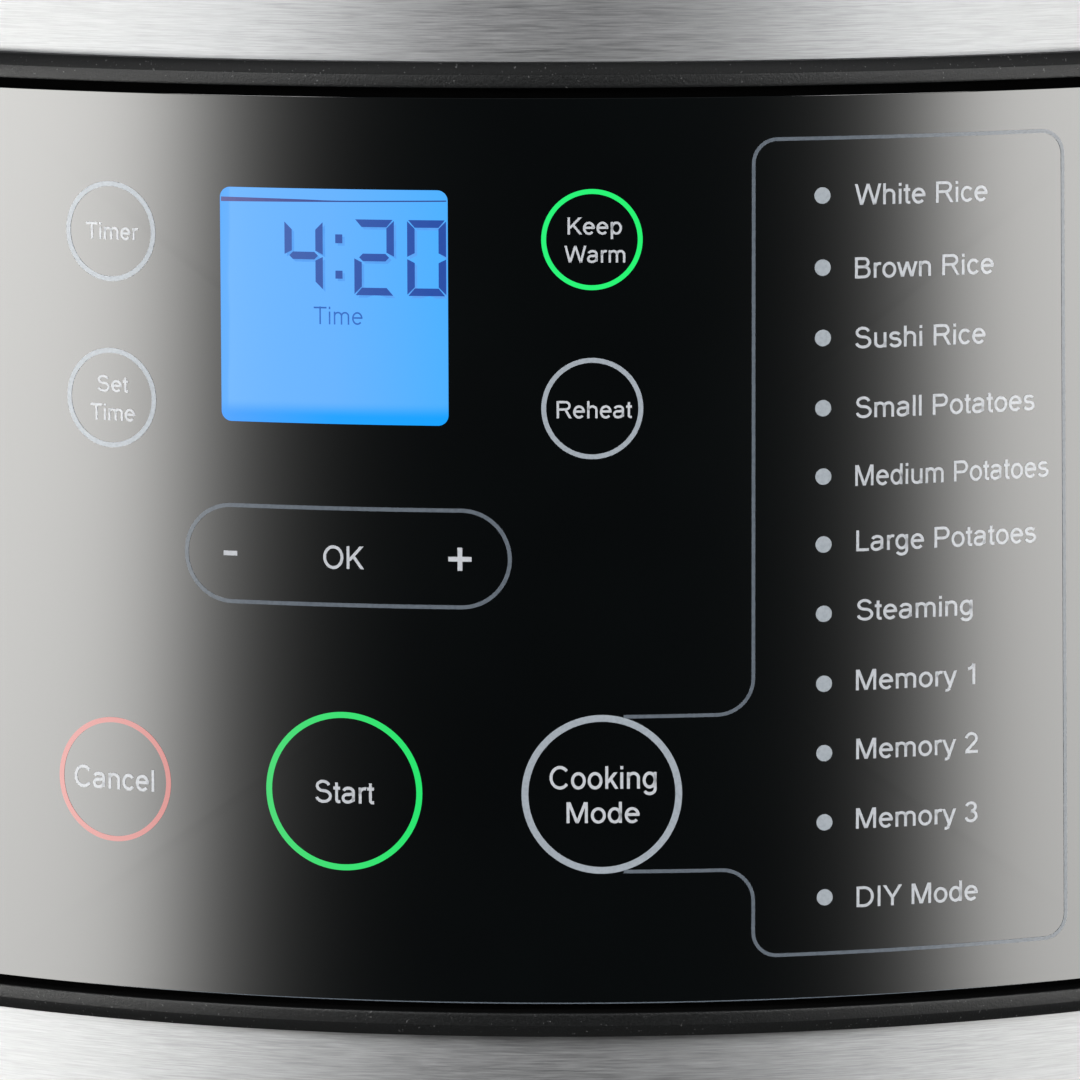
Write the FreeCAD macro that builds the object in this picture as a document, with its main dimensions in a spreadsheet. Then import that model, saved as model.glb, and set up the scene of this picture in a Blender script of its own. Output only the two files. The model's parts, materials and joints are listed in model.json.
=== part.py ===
import FreeCAD, Part
import math
import os
import re
import Sketcher

# Upright electronic rice cooker. Frame: millimetres, origin at the centre of the base where the feet
# stand, +Z up, control panel towards -Y, lid hinge towards +Y.

doc = FreeCAD.newDocument("RiceCooker")
Vector = FreeCAD.Vector
Rotation = FreeCAD.Rotation

# ---- driving dimensions ----

dimensions = {
    # base
    "footRadius": 9.0, "footHeight": 5.5, "footCircle": 104.0,
    "baseBottom": 4.0, "baseFloor": 3.0, "baseFlatRadius": 122.0, "plinthRise": 12.0,
    "postCircle": 84.0, "postRadius": 5.0, "screwRadius": 1.9, "screwHeadRadius": 4.0, "airSlots": 20,
    # outer shell
    "shellRadius": 136.5, "shellWall": 0.8, "shellBottom": 30.0, "shellTop": 206.0,
    # display behind the panel
    "displayArc": -29.5, "displayHeight": 30.1, "displayHalfWidth": 15.5, "displayHalfHeight": 15.5,
    "displayDepth": 5.0,
    # control panel, whose face is a cylinder a little larger than the shell
    "panelRadius": 138.0, "panelWall": 2.2, "panelCentre": 113.0,
    "panelHalfWidth": 88.5, "panelHalfHeight": 56.6, "panelCorner": 13.0,
    "trimRadius": 139.3, "trimInnerHalfWidth": 89.6, "trimInnerHalfHeight": 57.7,
    "trimHalfWidth": 93.0, "trimHalfHeight": 60.9, "trimCorner": 17.0,
    "shellCutHalfWidth": 91.0, "shellCutHalfHeight": 58.9,
    "carrierWindowHalfWidth": 74.0, "carrierWindowHalfHeight": 46.0, "carrierWindowCorner": 6.0,
    # collar round the pot's mouth
    "collarRadius": 138.0, "collarBottom": 206.3, "collarTop": 216.0, "collarSeat": 213.0,
    "collarWebBottom": 211.0, "mouthRadius": 109.5, "seatRadius": 121.5,
    # inner pot
    "potRadius": 108.0, "potWall": 1.5, "potBottom": 62.0, "potFlangeRadius": 120.0, "potCorner": 22.0,
    # heating parts
    "shieldRadius": 112.8, "shieldWall": 0.8, "shieldFloor": 40.0,
    "plateRadius": 86.0, "plateTop": 61.6, "plateBottom": 51.0, "plateHole": 19.0,
    "elementCircle": 62.0, "elementRadius": 4.0, "elementHeight": 48.6,
    "cupRadius": 17.0, "cupWall": 1.2, "cupTop": 61.7, "cupBottom": 48.0,
    "sensorSpringRadius": 10.0, "sensorWire": 1.2, "bracketTop": 39.9, "bracketWall": 1.2,
    "bracketHalfLength": 45.0, "bracketHalfWidth": 8.0,
    # electronics
    "boardWall": 1.6, "powerBoardBottom": 15.0, "controlBoardFront": 118.0, "controlBoardHalfWidth": 60.0,
    "controlBoardHalfHeight": 50.0, "powerBoardHalfWidth": 45.0, "powerBoardNear": 14.0,
    "powerBoardFar": 56.0, "touchSpringRadius": 3.2, "touchWireRadius": 0.3, "touchPitch": 1.5,
    # lid
    "lidRadius": 138.0, "lidWall": 3.0, "lidBottom": 217.2, "lidShoulder": 240.0,
    "lidRim": 253.0, "lidLedge": 250.0, "plateSeatRadius": 126.0,
    "topPlateRadius": 125.6, "topPlateFlat": 100.0, "topPlateTop": 258.0, "topPlateDrop": 6.5,
    "topPlateWall": 1.2, "topPlateRound": 54.0,
    "linerBottom": 221.0, "linerWall": 1.5, "innerLidRadius": 112.0, "innerLidBottom": 216.0,
    "innerLidWall": 1.0, "knobRadius": 12.0, "knobStem": 4.0, "lidScrewCircle": 126.0,
    "gasketInner": 112.3, "gasketOuter": 118.0, "gasketBottom": 215.0,
    # hinge
    "hingeY": 143.0, "hingeZ": 226.0, "hingeBarrel": 6.4, "pinRadius": 2.0, "pinFit": 0.06,
    "earInner": 26.0, "earOuter": 36.0, "lugInner": 14.0, "lugOuter": 25.4,
    "hingeSpringRadius": 4.2, "hingeWireRadius": 0.7, "hingePitch": 2.0,
    # steam vent
    "ventY": 56.0, "ventRadius": 24.0, "ventWall": 1.5, "ventFloor": 236.0, "ventCapRadius": 26.0,
    "steamHoleCircle": 12.0, "steamHoleRadius": 2.0, "ventSlotHalfLength": 9.0, "ventSlotWidth": 2.4,
    "ventSlotSpacing": 4.0, "ventSlotFirst": -5.2,
    # release button and latch
    "buttonY": -99.0, "buttonHalfWidth": 22.0, "buttonHalfDepth": 8.0, "buttonTop": 260.4,
    "buttonSpringRadius": 4.2, "buttonWireRadius": 0.4, "buttonPitch": 1.9, "buttonSpringLength": 7.6,
    "shelfTop": 241.0, "shelfWall": 1.5, "shelfHalfWidth": 14.0,
    "latchY": -126.0, "latchZ": 232.0, "latchHalfWidth": 9.0, "latchTip": 208.0,
    # handles, inlet, condensate cup
    "handleReach": 160.0, "handleHalfWidth": 42.0, "handleBottom": 170.0, "handleHeight": 14.0,
    "handleCorner": 14.0, "handleRoot": 118.0, "gapNear": 142.0, "gapFar": 152.0, "gapHalfLength": 32.0,
    "handleScrewSpread": 25.0, "handleScrewSeat": 131.0,
    "inletZ": 62.0, "inletHalfWidth": 14.0, "inletHalfHeight": 10.5, "inletDepth": 22.0,
    "condenserHalfWidth": 24.0, "condenserBottom": 174.0, "condenserTop": 203.0, "condenserFlange": 26.0,
    "condenserDepth": 16.0,
}

sheet = doc.addObject("Spreadsheet::Sheet", "Dims")
for row, (alias, amount) in enumerate(dimensions.items(), start=1):
    sheet.set("A%d" % row, alias)
    sheet.set("B%d" % row, str(amount))
    sheet.setAlias("B%d" % row, alias)
doc.recompute()

nodes = []


def bound(expression):
    """The expression with each alias written as a reference to the sheet."""
    return re.sub(r"[A-Za-z]\w*", lambda word: "Dims." + word.group(0)
                  if word.group(0) in dimensions else word.group(0), str(expression))


def size(expression):
    """The number that an expression on the sheet gives now."""
    return float(sheet.evalExpression(bound(expression)))


def bind(item, **expressions):
    """Binds an object's properties to expressions on the sheet."""
    for name, expression in expressions.items():
        item.setExpression(name, bound(expression))
    return item


def keep(item, label):
    """Names a finished sub-part and lists it for export."""
    item.Label = label
    nodes.append(item)
    return item


# ---- sketches ----

def originPlane(body, role):
    return [feature for feature in body.Origin.OriginFeatures if feature.Role == role][0]


def sketchOn(body, role, name):
    sketch = body.newObject("Sketcher::SketchObject", name)
    sketch.AttachmentSupport = [(originPlane(body, role), "")]
    sketch.MapMode = "FlatFace"
    return sketch


def pin(sketch, curve, end, across, up):
    """Holds one end of a curve at a place given by two expressions."""
    for kind, expression in (("DistanceX", across), ("DistanceY", up)):
        index = sketch.addConstraint(Sketcher.Constraint(kind, -1, 1, curve, end, size(expression)))
        sketch.setExpression("Constraints[%d]" % index, bound(expression))


def arcBetween(start, end, radius):
    """An arc that bulges to the right of the way from start to end, or to the left if radius is negative."""
    chord = end - start
    depth = math.sqrt(radius * radius - chord.Length * chord.Length / 4)
    aside = Vector(chord.y, -chord.x, 0).normalize()
    centre = (start + end) / 2 - aside * math.copysign(depth, radius)
    low, high = (start, end) if radius > 0 else (end, start)
    angles = [math.atan2(place.y - centre.y, place.x - centre.x) for place in (low, high)]
    circle = Part.Circle(centre, Vector(0, 0, 1), abs(radius))
    return Part.ArcOfCircle(circle, angles[0], angles[1])


def addOutline(sketch, outline):
    """A closed outline. Each corner is (across, up) or (across, up, radius of the arc to the next)."""
    places = [Vector(size(corner[0]), size(corner[1]), 0) for corner in outline]
    for number, corner in enumerate(outline):
        after = (number + 1) % len(outline)
        start, end = places[number], places[after]
        radius = size(corner[2]) if len(corner) == 3 else 0
        if radius:
            curve = sketch.addGeometry(arcBetween(start, end, radius), False)
        else:
            curve = sketch.addGeometry(Part.LineSegment(start, end), False)
        ends = (2, 1) if radius < 0 else (1, 2)
        pin(sketch, curve, ends[0], corner[0], corner[1])
        pin(sketch, curve, ends[1], outline[after][0], outline[after][1])
        if radius:
            sketch.addConstraint(Sketcher.Constraint("Radius", curve, abs(radius)))


def roundedOutline(left, right, low, high, corner):
    """The outline of a rectangle with round corners, anticlockwise from the lower left."""
    left, right, low, high, corner = ("(%s)" % part for part in (left, right, low, high, corner))
    return [("%s + %s" % (left, corner), low), ("%s - %s" % (right, corner), low, corner),
            (right, "%s + %s" % (low, corner)), (right, "%s - %s" % (high, corner), corner),
            ("%s - %s" % (right, corner), high), ("%s + %s" % (left, corner), high, corner),
            (left, "%s - %s" % (high, corner)), (left, "%s + %s" % (low, corner), corner)]


# ---- features ----

def turned(name, outline, plane="XZ_Plane", angle="360"):
    """A body turned about the Z axis from an outline of (radius, height) corners."""
    body = doc.addObject("PartDesign::Body", name)
    sketch = sketchOn(body, plane, name + "Profile")
    addOutline(sketch, outline)
    doc.recompute()
    turn = body.newObject("PartDesign::Revolution", name + "Turn")
    turn.Profile = sketch
    turn.ReferenceAxis = (sketch, ["V_Axis"])
    turn.Midplane = angle != "360"
    bind(turn, Angle=angle)
    doc.recompute()
    return body


def pocket(body, plane, outlines, reverse, length=None):
    """Cuts outlines through a body, or to a length, and makes sure that it took something away."""
    before = body.Shape.Volume
    name = "%sCut%d" % (body.Name, len(body.Group))
    sketch = sketchOn(body, plane, name + "Sketch")
    for outline in outlines:
        addOutline(sketch, outline)
    cut = body.newObject("PartDesign::Pocket", name)
    cut.Profile = sketch
    cut.Reversed = reverse
    if length is None:
        cut.Type = "ThroughAll"
    else:
        bind(cut, Length=length)
    doc.recompute()
    if body.Shape.Volume > before - 1e-3:
        raise RuntimeError(name + " cuts nothing")
    return cut


def padded(name, outlines, plane, height, offset="0"):
    """A body padded from outlines on an origin plane, from an offset along the plane's normal."""
    body = doc.addObject("PartDesign::Body", name)
    sketch = sketchOn(body, plane, name + "Profile")
    bind(sketch, **{"AttachmentOffset.Base.z": offset})
    for outline in outlines:
        addOutline(sketch, outline)
    pad = body.newObject("PartDesign::Pad", name + "Pad")
    pad.Profile = sketch
    bind(pad, Length=height)
    doc.recompute()
    return body


def block(name, x, y, z):
    """A box between two expressions along each axis."""
    item = doc.addObject("Part::Box", name)
    bind(item, Length="(%s) - (%s)" % (x[1], x[0]), Width="(%s) - (%s)" % (y[1], y[0]),
         Height="(%s) - (%s)" % (z[1], z[0]))
    bind(item, **{"Placement.Base.x": x[0], "Placement.Base.y": y[0], "Placement.Base.z": z[0]})
    return item


def rod(name, radius, length, start, way=(0, 0, 1)):
    """A cylinder from a start point along a way. The start's three places are expressions."""
    item = doc.addObject("Part::Cylinder", name)
    bind(item, Radius=radius, Height=length)
    item.Placement.Rotation = Rotation(Vector(0, 0, 1), Vector(*way))
    for axis, place in zip("xyz", start):
        bind(item, **{"Placement.Base." + axis: place})
    return item


def joined(name, items):
    result = doc.addObject("Part::MultiFuse", name)
    result.Shapes = items
    return result


def cutFrom(name, base, tools):
    result = doc.addObject("Part::Cut", name)
    result.Base = base
    result.Tool = tools[0] if len(tools) == 1 else joined(name + "Tools", tools)
    return result


def grouped(name, items):
    """Separate equal pieces that share one node."""
    result = doc.addObject("Part::Compound", name)
    result.Links = items
    return result


def onCircle(circle, angle, height):
    """A place on a circle about the Z axis, as three expressions."""
    return ("%s * cos(%s)" % (circle, angle), "%s * sin(%s)" % (circle, angle), height)


def coil(name, radius, wire, pitch, length, start, way=(0, 0, 1)):
    """A helical spring of round wire, whose section stands square to the wire."""
    helix = doc.addObject("Part::Helix", name + "Line")
    bind(helix, Radius=radius, Pitch=pitch, Height=length)
    helix.SegmentLength = 1
    doc.recompute()
    section = doc.addObject("Part::Circle", name + "Section")
    bind(section, Radius=wire)
    lead = math.degrees(math.atan2(size(pitch), 2 * math.pi * size(radius)))
    section.Placement.Rotation = Rotation(Vector(1, 0, 0), 90 + lead)
    bind(section, **{"Placement.Base.x": radius})
    spring = doc.addObject("Part::Sweep", name)
    spring.Sections = [section]
    spring.Spine = (helix, ["Edge%d" % (number + 1) for number in range(len(helix.Shape.Edges))])
    spring.Solid = True
    spring.Frenet = True
    spring.Placement.Rotation = Rotation(Vector(0, 0, 1), Vector(*way))
    for axis, place in zip("xyz", start):
        bind(spring, **{"Placement.Base." + axis: place})
    return spring


def frontPlace(radius, arc, height):
    """A place at the front, an arc length round the panel's face from its middle, with its way out."""
    angle = arc / size("panelRadius")
    way = (math.sin(angle), -math.cos(angle), 0)
    return (way[0] * radius, way[1] * radius, height), way


# ---- base ----

def makeBase():
    pan = turned("BasePan", [
        (0, "baseBottom"), ("baseFlatRadius", "baseBottom", 24),
        ("shellRadius", "baseBottom + plinthRise"), ("shellRadius", "shellBottom - 0.3"),
        ("shellRadius - shellWall - 0.3", "shellBottom - 0.3"),
        ("shellRadius - shellWall - 0.3", "shellBottom + 6"),
        ("shellRadius - shellWall - 3.3", "shellBottom + 6"),
        ("shellRadius - shellWall - 3.3", "baseBottom + plinthRise + 3"),
        ("baseFlatRadius - 2", "baseBottom + baseFloor"), (0, "baseBottom + baseFloor")])
    # air slots through the floor
    slot = pocket(pan, "XY_Plane", [roundedOutline("42", "66", "-2", "2", "1.9")], True)
    ring = pan.newObject("PartDesign::PolarPattern", "AirSlots")
    ring.Originals = [slot]
    ring.Axis = (originPlane(pan, "Z_Axis"), [""])
    ring.Angle = 360
    bind(ring, Occurrences="airSlots")
    pan.Tip = ring
    doc.recompute()
    feet, screws, posts, tools = [], [], [], []
    for number in range(4):
        corner = 45 + 90 * number
        feet.append(rod("Foot%d" % number, "footRadius", "footHeight",
                        onCircle("footCircle", corner, "0")))
        tools.append(rod("FootSeat%d" % number, "footRadius + 0.1", "3",
                         onCircle("footCircle", corner, "footHeight - 3")))
        spot = onCircle("postCircle", corner, "baseBottom + baseFloor")
        hole = rod("PostHole%d" % number, "screwRadius", "14", spot)
        post = rod("PostBar%d" % number, "postRadius", "shieldFloor - baseBottom - baseFloor", spot)
        posts.append(cutFrom("Post%d" % number, post, [hole]))
        head = rod("ScrewHead%d" % number, "screwHeadRadius", "1.5",
                   onCircle("postCircle", corner, "baseBottom"))
        shank = rod("ScrewShank%d" % number, "screwRadius - 0.05", "12",
                    onCircle("postCircle", corner, "baseBottom + 1.5"))
        screws.append(joined("BaseScrew%d" % number, [head, shank]))
        tools.append(rod("ScrewSeat%d" % number, "screwHeadRadius + 0.2", "2",
                         onCircle("postCircle", corner, "baseBottom - 0.5")))
        tools.append(rod("ScrewWay%d" % number, "screwRadius + 0.2", "8",
                         onCircle("postCircle", corner, "baseBottom")))
    keep(cutFrom("BasePanDrilled", pan, tools), "base_pan")
    keep(grouped("Feet", feet), "rubber_feet")
    keep(grouped("BaseScrews", screws), "base_screws")
    keep(grouped("Posts", posts), "support_posts")


# ---- outer shell with its cut-outs for the panel and the inlet ----

def makeShell():
    shell = turned("OuterShell", [
        ("shellRadius - shellWall", "shellBottom"), ("shellRadius", "shellBottom"),
        ("shellRadius", "shellTop"), ("shellRadius - shellWall", "shellTop")])
    pocket(shell, "XZ_Plane", [roundedOutline(
        "-shellCutHalfWidth", "shellCutHalfWidth", "panelCentre - shellCutHalfHeight",
        "panelCentre + shellCutHalfHeight", "trimCorner - 2")], True)
    pocket(shell, "XZ_Plane", [roundedOutline(
        "-inletHalfWidth - 0.3", "inletHalfWidth + 0.3", "inletZ - inletHalfHeight - 0.3",
        "inletZ + inletHalfHeight + 0.3", "0.4")], False)
    holes = []
    for side in (-1, 1):
        for along in (-size("handleScrewSpread"), size("handleScrewSpread")):
            holes.append(rod("ShellHole%d" % len(holes), "screwRadius + 0.3", "20",
                             (side * size("handleScrewSeat - 6"), along, "handleBottom + handleHeight / 2"),
                             (side, 0, 0)))
    keep(cutFrom("OuterShellDrilled", shell, holes), "outer_shell")


# ---- control panel: lens, trim and what stands behind them ----

def curvedPiece(name, inner, outer, outline, window=None):
    """A piece of a cylinder's wall at the front, cut to an outline seen along Y."""
    body = turned(name, [
        ("-(%s)" % outer, "panelCentre - trimHalfHeight - 8"),
        ("-(%s)" % inner, "panelCentre - trimHalfHeight - 8"),
        ("-(%s)" % inner, "panelCentre + trimHalfHeight + 8"),
        ("-(%s)" % outer, "panelCentre + trimHalfHeight + 8")], "YZ_Plane", "100")
    # a rectangle well outside the piece, so that only what lies within the outline is left
    low, high = "panelCentre - 1.5 * trimHalfHeight", "panelCentre + 1.5 * trimHalfHeight"
    frame = [("-1.5 * trimHalfWidth", low), ("1.5 * trimHalfWidth", low),
             ("1.5 * trimHalfWidth", high), ("-1.5 * trimHalfWidth", high)]
    pocket(body, "XZ_Plane", [frame, outline], True)
    if window:
        pocket(body, "XZ_Plane", [window], True)
    return body


def panelOutline(halfWidth, halfHeight, corner):
    return roundedOutline("-" + halfWidth, halfWidth, "panelCentre - " + halfHeight,
                          "panelCentre + " + halfHeight, corner)


def makePanel():
    lens = curvedPiece("PanelLens", "panelRadius - panelWall", "panelRadius",
                       panelOutline("panelHalfWidth", "panelHalfHeight", "panelCorner"))
    keep(lens, "panel_lens")
    trim = curvedPiece("PanelTrim", "shellRadius + 0.1", "trimRadius",
                       panelOutline("trimHalfWidth", "trimHalfHeight", "trimCorner"),
                       panelOutline("trimInnerHalfWidth", "trimInnerHalfHeight", "trimCorner - 3.3"))
    keep(trim, "panel_trim")
    carrier = curvedPiece("ControlCarrier", "panelRadius - panelWall - 2.8",
                          "panelRadius - panelWall - 0.3",
                          panelOutline("trimInnerHalfWidth", "trimInnerHalfHeight", "panelCorner"),
                          panelOutline("carrierWindowHalfWidth", "carrierWindowHalfHeight",
                                       "carrierWindowCorner"))
    keep(carrier, "control_carrier")
    keep(block("ControlBoardPlate", ("-controlBoardHalfWidth", "controlBoardHalfWidth"),
               ("-controlBoardFront", "-controlBoardFront + boardWall"),
               ("panelCentre - controlBoardHalfHeight", "panelCentre + controlBoardHalfHeight")),
         "control_board")
    # the display faces out square to the curved panel at its own place
    display = doc.addObject("Part::Box", "DisplayModule")
    bind(display, Length="2 * displayHalfWidth", Width="displayDepth", Height="2 * displayHalfHeight")
    face = size("panelRadius - panelWall - 2.2")
    place, way = frontPlace(face, size("displayArc"), size("panelCentre + displayHeight - displayHalfHeight"))
    turn = Rotation(Vector(0, 0, 1), math.degrees(size("displayArc") / size("panelRadius")))
    corner = turn.multVec(Vector(-size("displayHalfWidth"), 0, 0))
    display.Placement = FreeCAD.Placement(Vector(*place) + corner, turn)
    keep(display, "lcd_module")


# Keys: arc length round the face from its middle, height above the panel's centre, ring radius.
keyPlaces = [(-59.0, 38.65, 6.25), (-59.1, 17.75, 6.25), (2.8, 38.65, 6.25), (2.8, 17.7, 6.3),
             (-59.2, -30.6, 7.9), (-28.5, -30.6, 10.0), (3.9, -30.6, 10.0)]
stepKeyPlaces = [(-43.0, -1.1), (-13.7, -1.1)]
modeLampArc = 31.8
modeLampTop = 43.7
modeLampSpacing = 8.8
modeLampCount = 11


def boardToLens(arc, halfWidth):
    """The start and length of a radial piece that fills the way from the board to the lens."""
    angle = arc / size("panelRadius")
    near = (size("controlBoardFront") + 0.4 + halfWidth * abs(math.sin(angle))) / math.cos(angle)
    return near, size("panelRadius - panelWall") - 0.4 - near


def makePanelInternals():
    guides = []
    for number in range(modeLampCount):
        height = size("panelCentre") + modeLampTop - modeLampSpacing * number
        near, length = boardToLens(modeLampArc, 1.2)
        start, way = frontPlace(near, modeLampArc, height)
        guides.append(rod("ModeGuide%d" % number, "1.2", length, start, way))
    keep(grouped("ModeGuides", guides), "mode_light_guides")
    rings, springs = [], []
    lensBack = size("panelRadius - panelWall") - 0.4
    for number, (arc, height, radius) in enumerate(keyPlaces):
        start, way = frontPlace(lensBack - 3, arc, size("panelCentre") + height)
        outside = rod("KeyRingOuter%d" % number, radius + 0.6, "2.6", start, way)
        inside = rod("KeyRingInner%d" % number, radius - 1.0, "2.6", start, way)
        rings.append(cutFrom("KeyRing%d" % number, outside, [inside]))
    keep(grouped("KeyRings", rings), "key_light_rings")
    for number, (arc, height) in enumerate([place[:2] for place in keyPlaces] + stepKeyPlaces):
        near, length = boardToLens(arc, 3.6)
        start, way = frontPlace(near + 0.4, arc, size("panelCentre") + height)
        springs.append(coil("TouchSpring%d" % number, "touchSpringRadius", "touchWireRadius",
                            "touchPitch", length - 1.2, start, way))
    keep(grouped("TouchSprings", springs), "touch_springs")
    keep(block("RibbonStrip", ("-12", "12"), ("-controlBoardFront + boardWall + 0.3",
                                             "-controlBoardFront + boardWall + 0.8"),
               ("20", "panelCentre - 30")), "ribbon_cable")


# ---- collar with the hinge ears, and the latch slot ----

def makeCollar():
    ring = turned("CollarRing", [
        ("mouthRadius", "collarSeat - 8"), ("mouthRadius + 2", "collarSeat - 8"),
        ("mouthRadius + 2", "collarWebBottom"), ("shellRadius - shellWall - 3.3", "collarWebBottom"),
        ("shellRadius - shellWall - 3.3", "shellTop - 8"), ("shellRadius - shellWall - 0.3", "shellTop - 8"),
        ("shellRadius - shellWall - 0.3", "collarBottom"), ("collarRadius", "collarBottom"),
        ("collarRadius", "collarTop - 2", 2), ("collarRadius - 2", "collarTop"),
        ("seatRadius", "collarTop"), ("seatRadius", "collarSeat"), ("mouthRadius", "collarSeat")])
    solids = [ring, block("HingeShelf", ("-earOuter - 4", "earOuter + 4"), ("128", "hingeY + hingeBarrel"),
                          ("collarBottom", "collarTop"))]
    for side, name in ((-1, "Left"), (1, "Right")):
        ends = sorted((side * size("earInner"), side * size("earOuter")))
        solids.append(block("Ear" + name, ends, ("hingeY - 4", "hingeY + hingeBarrel"),
                            ("collarTop - 1", "hingeZ")))
        solids.append(rod("EarBarrel" + name, "hingeBarrel", "earOuter - earInner",
                          (ends[0], "hingeY", "hingeZ"), (1, 0, 0)))
        # rail that carries the condensate cup's flange
        inside, outside = size("condenserFlange + 0.4"), size("condenserFlange + 3.4")
        ends = sorted((side * inside, side * outside))
        solids.append(block("RailWall" + name, ends, ("shellRadius + 1", "hingeY + hingeBarrel"),
                            ("condenserTop - 8", "collarBottom + 1")))
        ends = sorted((side * size("condenserHalfWidth + 0.4"), side * outside))
        solids.append(block("RailLip" + name, ends, ("shellRadius + 1", "hingeY + hingeBarrel"),
                            ("condenserTop - 8", "condenserTop - 3.4")))
    tools = [rod("EarHole", "pinRadius", "2 * earOuter + 10", ("-earOuter - 5", "hingeY", "hingeZ"),
                 (1, 0, 0)),
             rod("MouthClear", "mouthRadius", "30", ("0", "0", "collarSeat - 12")),
             block("LatchSlot", ("-latchHalfWidth - 1", "latchHalfWidth + 1"),
                   ("-shellRadius + 4", "-seatRadius - 0.2"), ("collarWebBottom - 1", "collarTop + 1"))]
    keep(cutFrom("TopCollar", joined("CollarSolid", solids), tools), "top_collar")
    keep(rod("HingePin", "pinRadius", "2 * earOuter + 3", ("-earOuter - 1.5", "hingeY", "hingeZ"),
             (1, 0, 0)), "hinge_pin")
    keep(coil("HingeSpring", "hingeSpringRadius", "hingeWireRadius", "hingePitch", "2 * lugInner - 6",
              ("-lugInner + 3", "hingeY", "hingeZ"),
              (1, 0, 0)), "hinge_spring")


# ---- pot and heating parts ----

def makePot():
    inside = "potRadius - potWall"
    keep(turned("InnerPot", [
        (0, "potBottom"), ("potRadius - potCorner", "potBottom", "potCorner"),
        ("potRadius", "potBottom + potCorner"), ("potRadius", "collarSeat + 0.2"),
        ("potFlangeRadius", "collarSeat + 0.2"), ("potFlangeRadius", "collarSeat + 0.2 + potWall"),
        (inside, "collarSeat + 0.2 + potWall"), (inside, "potBottom + potCorner", "potWall - potCorner"),
        ("potRadius - potCorner", "potBottom + potWall"), (0, "potBottom + potWall")]), "inner_pot")


def makeHeating():
    shield = turned("HeatShield", [
        ("30", "shieldFloor"), ("shieldRadius", "shieldFloor"), ("shieldRadius", "collarWebBottom - 1.2"),
        ("shieldRadius + 5", "collarWebBottom - 1.2"), ("shieldRadius + 5", "collarWebBottom - 0.2"),
        ("shieldRadius - shieldWall", "collarWebBottom - 0.2"),
        ("shieldRadius - shieldWall", "shieldFloor + shieldWall"), ("30", "shieldFloor + shieldWall")])
    keep(shield, "heat_shield")
    plate = turned("PlateDisc", [
        ("plateHole", "plateBottom"), ("plateRadius", "plateBottom"), ("plateRadius", "plateTop - 4"),
        ("plateRadius - 4", "plateTop"), ("plateHole", "plateTop")])
    legs = [rod("PlateLeg%d" % number, "4", "plateBottom - shieldFloor - shieldWall + 1",
                onCircle("44", 30 + 120 * number, "shieldFloor + shieldWall")) for number in range(3)]
    groove = doc.addObject("Part::Torus", "ElementGroove")
    bind(groove, Radius1="elementCircle", Radius2="elementRadius + 0.05")
    bind(groove, **{"Placement.Base.z": "elementHeight"})
    keep(cutFrom("HeatingPlate", joined("PlateSolid", [plate] + legs), [groove]), "heating_plate")
    element = doc.addObject("Part::Torus", "ElementTube")
    bind(element, Radius1="elementCircle", Radius2="elementRadius", Angle3="320")
    bind(element, **{"Placement.Base.z": "elementHeight"})
    keep(element, "heating_element")
    keep(turned("ThermostatCup", [
        ("cupRadius - cupWall", "cupBottom"), ("cupRadius", "cupBottom"), ("cupRadius", "cupTop - 2", 2),
        ("cupRadius - 2", "cupTop"), (0, "cupTop"), (0, "cupTop - 2"),
        ("cupRadius - cupWall", "cupTop - 2")]), "thermostat_cup")
    keep(coil("SensorSpring", "sensorSpringRadius", "sensorWire / 2", "3.2",
              "cupTop - 2 - bracketTop - 2 * sensorWire", ("0", "0", "bracketTop + sensorWire")),
         "sensor_spring")
    keep(block("SensorBracket", ("-bracketHalfLength", "bracketHalfLength"),
               ("-bracketHalfWidth", "bracketHalfWidth"), ("bracketTop - bracketWall", "bracketTop")),
         "sensor_bracket")
    keep(rod("ThermalFuse", "2", "12", ("-6", "70", "shieldFloor - 2.3"), (1, 0, 0)), "thermal_fuse")
    keep(block("FuseClip", ("-3", "3"), ("73", "82"), ("shieldFloor - 1.2", "shieldFloor - 0.1")),
         "fuse_clip")


# ---- power electronics on the base ----

def makeElectronics():
    top = size("powerBoardBottom") + size("boardWall")
    board = block("PowerBoardPlate", ("-powerBoardHalfWidth", "powerBoardHalfWidth"),
                  ("powerBoardNear", "powerBoardFar"),
                  ("powerBoardBottom", "powerBoardBottom + boardWall"))
    # one square stud stands under each corner of the board
    across, near, far = size("powerBoardHalfWidth - 5"), size("powerBoardNear + 4"), size("powerBoardFar - 5")
    corners = [(-across, near), (across, near), (-across, far), (across, far)]
    studs = [block("BoardStud%d" % number, (x - 3, x + 3), (y - 3, y + 3),
                   ("baseBottom + baseFloor + 0.1", "powerBoardBottom - 0.1"))
             for number, (x, y) in enumerate(corners)]
    keep(board, "power_board")
    keep(grouped("BoardStuds", studs), "board_studs")
    keep(block("TransformerCore", ("-40", "-16"), ("18", "38"), (top + 0.1, top + 19)), "transformer")
    keep(block("RelayCase", ("-8", "10"), ("20", "34"), (top + 0.1, top + 16)), "relay")
    cans = [rod("Can%d" % number, "4.5", "14", (x, 26, top + 0.1)) for number, x in enumerate((20, 32))]
    keep(grouped("Capacitors", cans), "capacitors")
    keep(block("TerminalBlock", ("-20", "20"), ("43", "53"), (top + 0.1, top + 11)), "terminal_block")


# ---- power inlet ----

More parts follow.
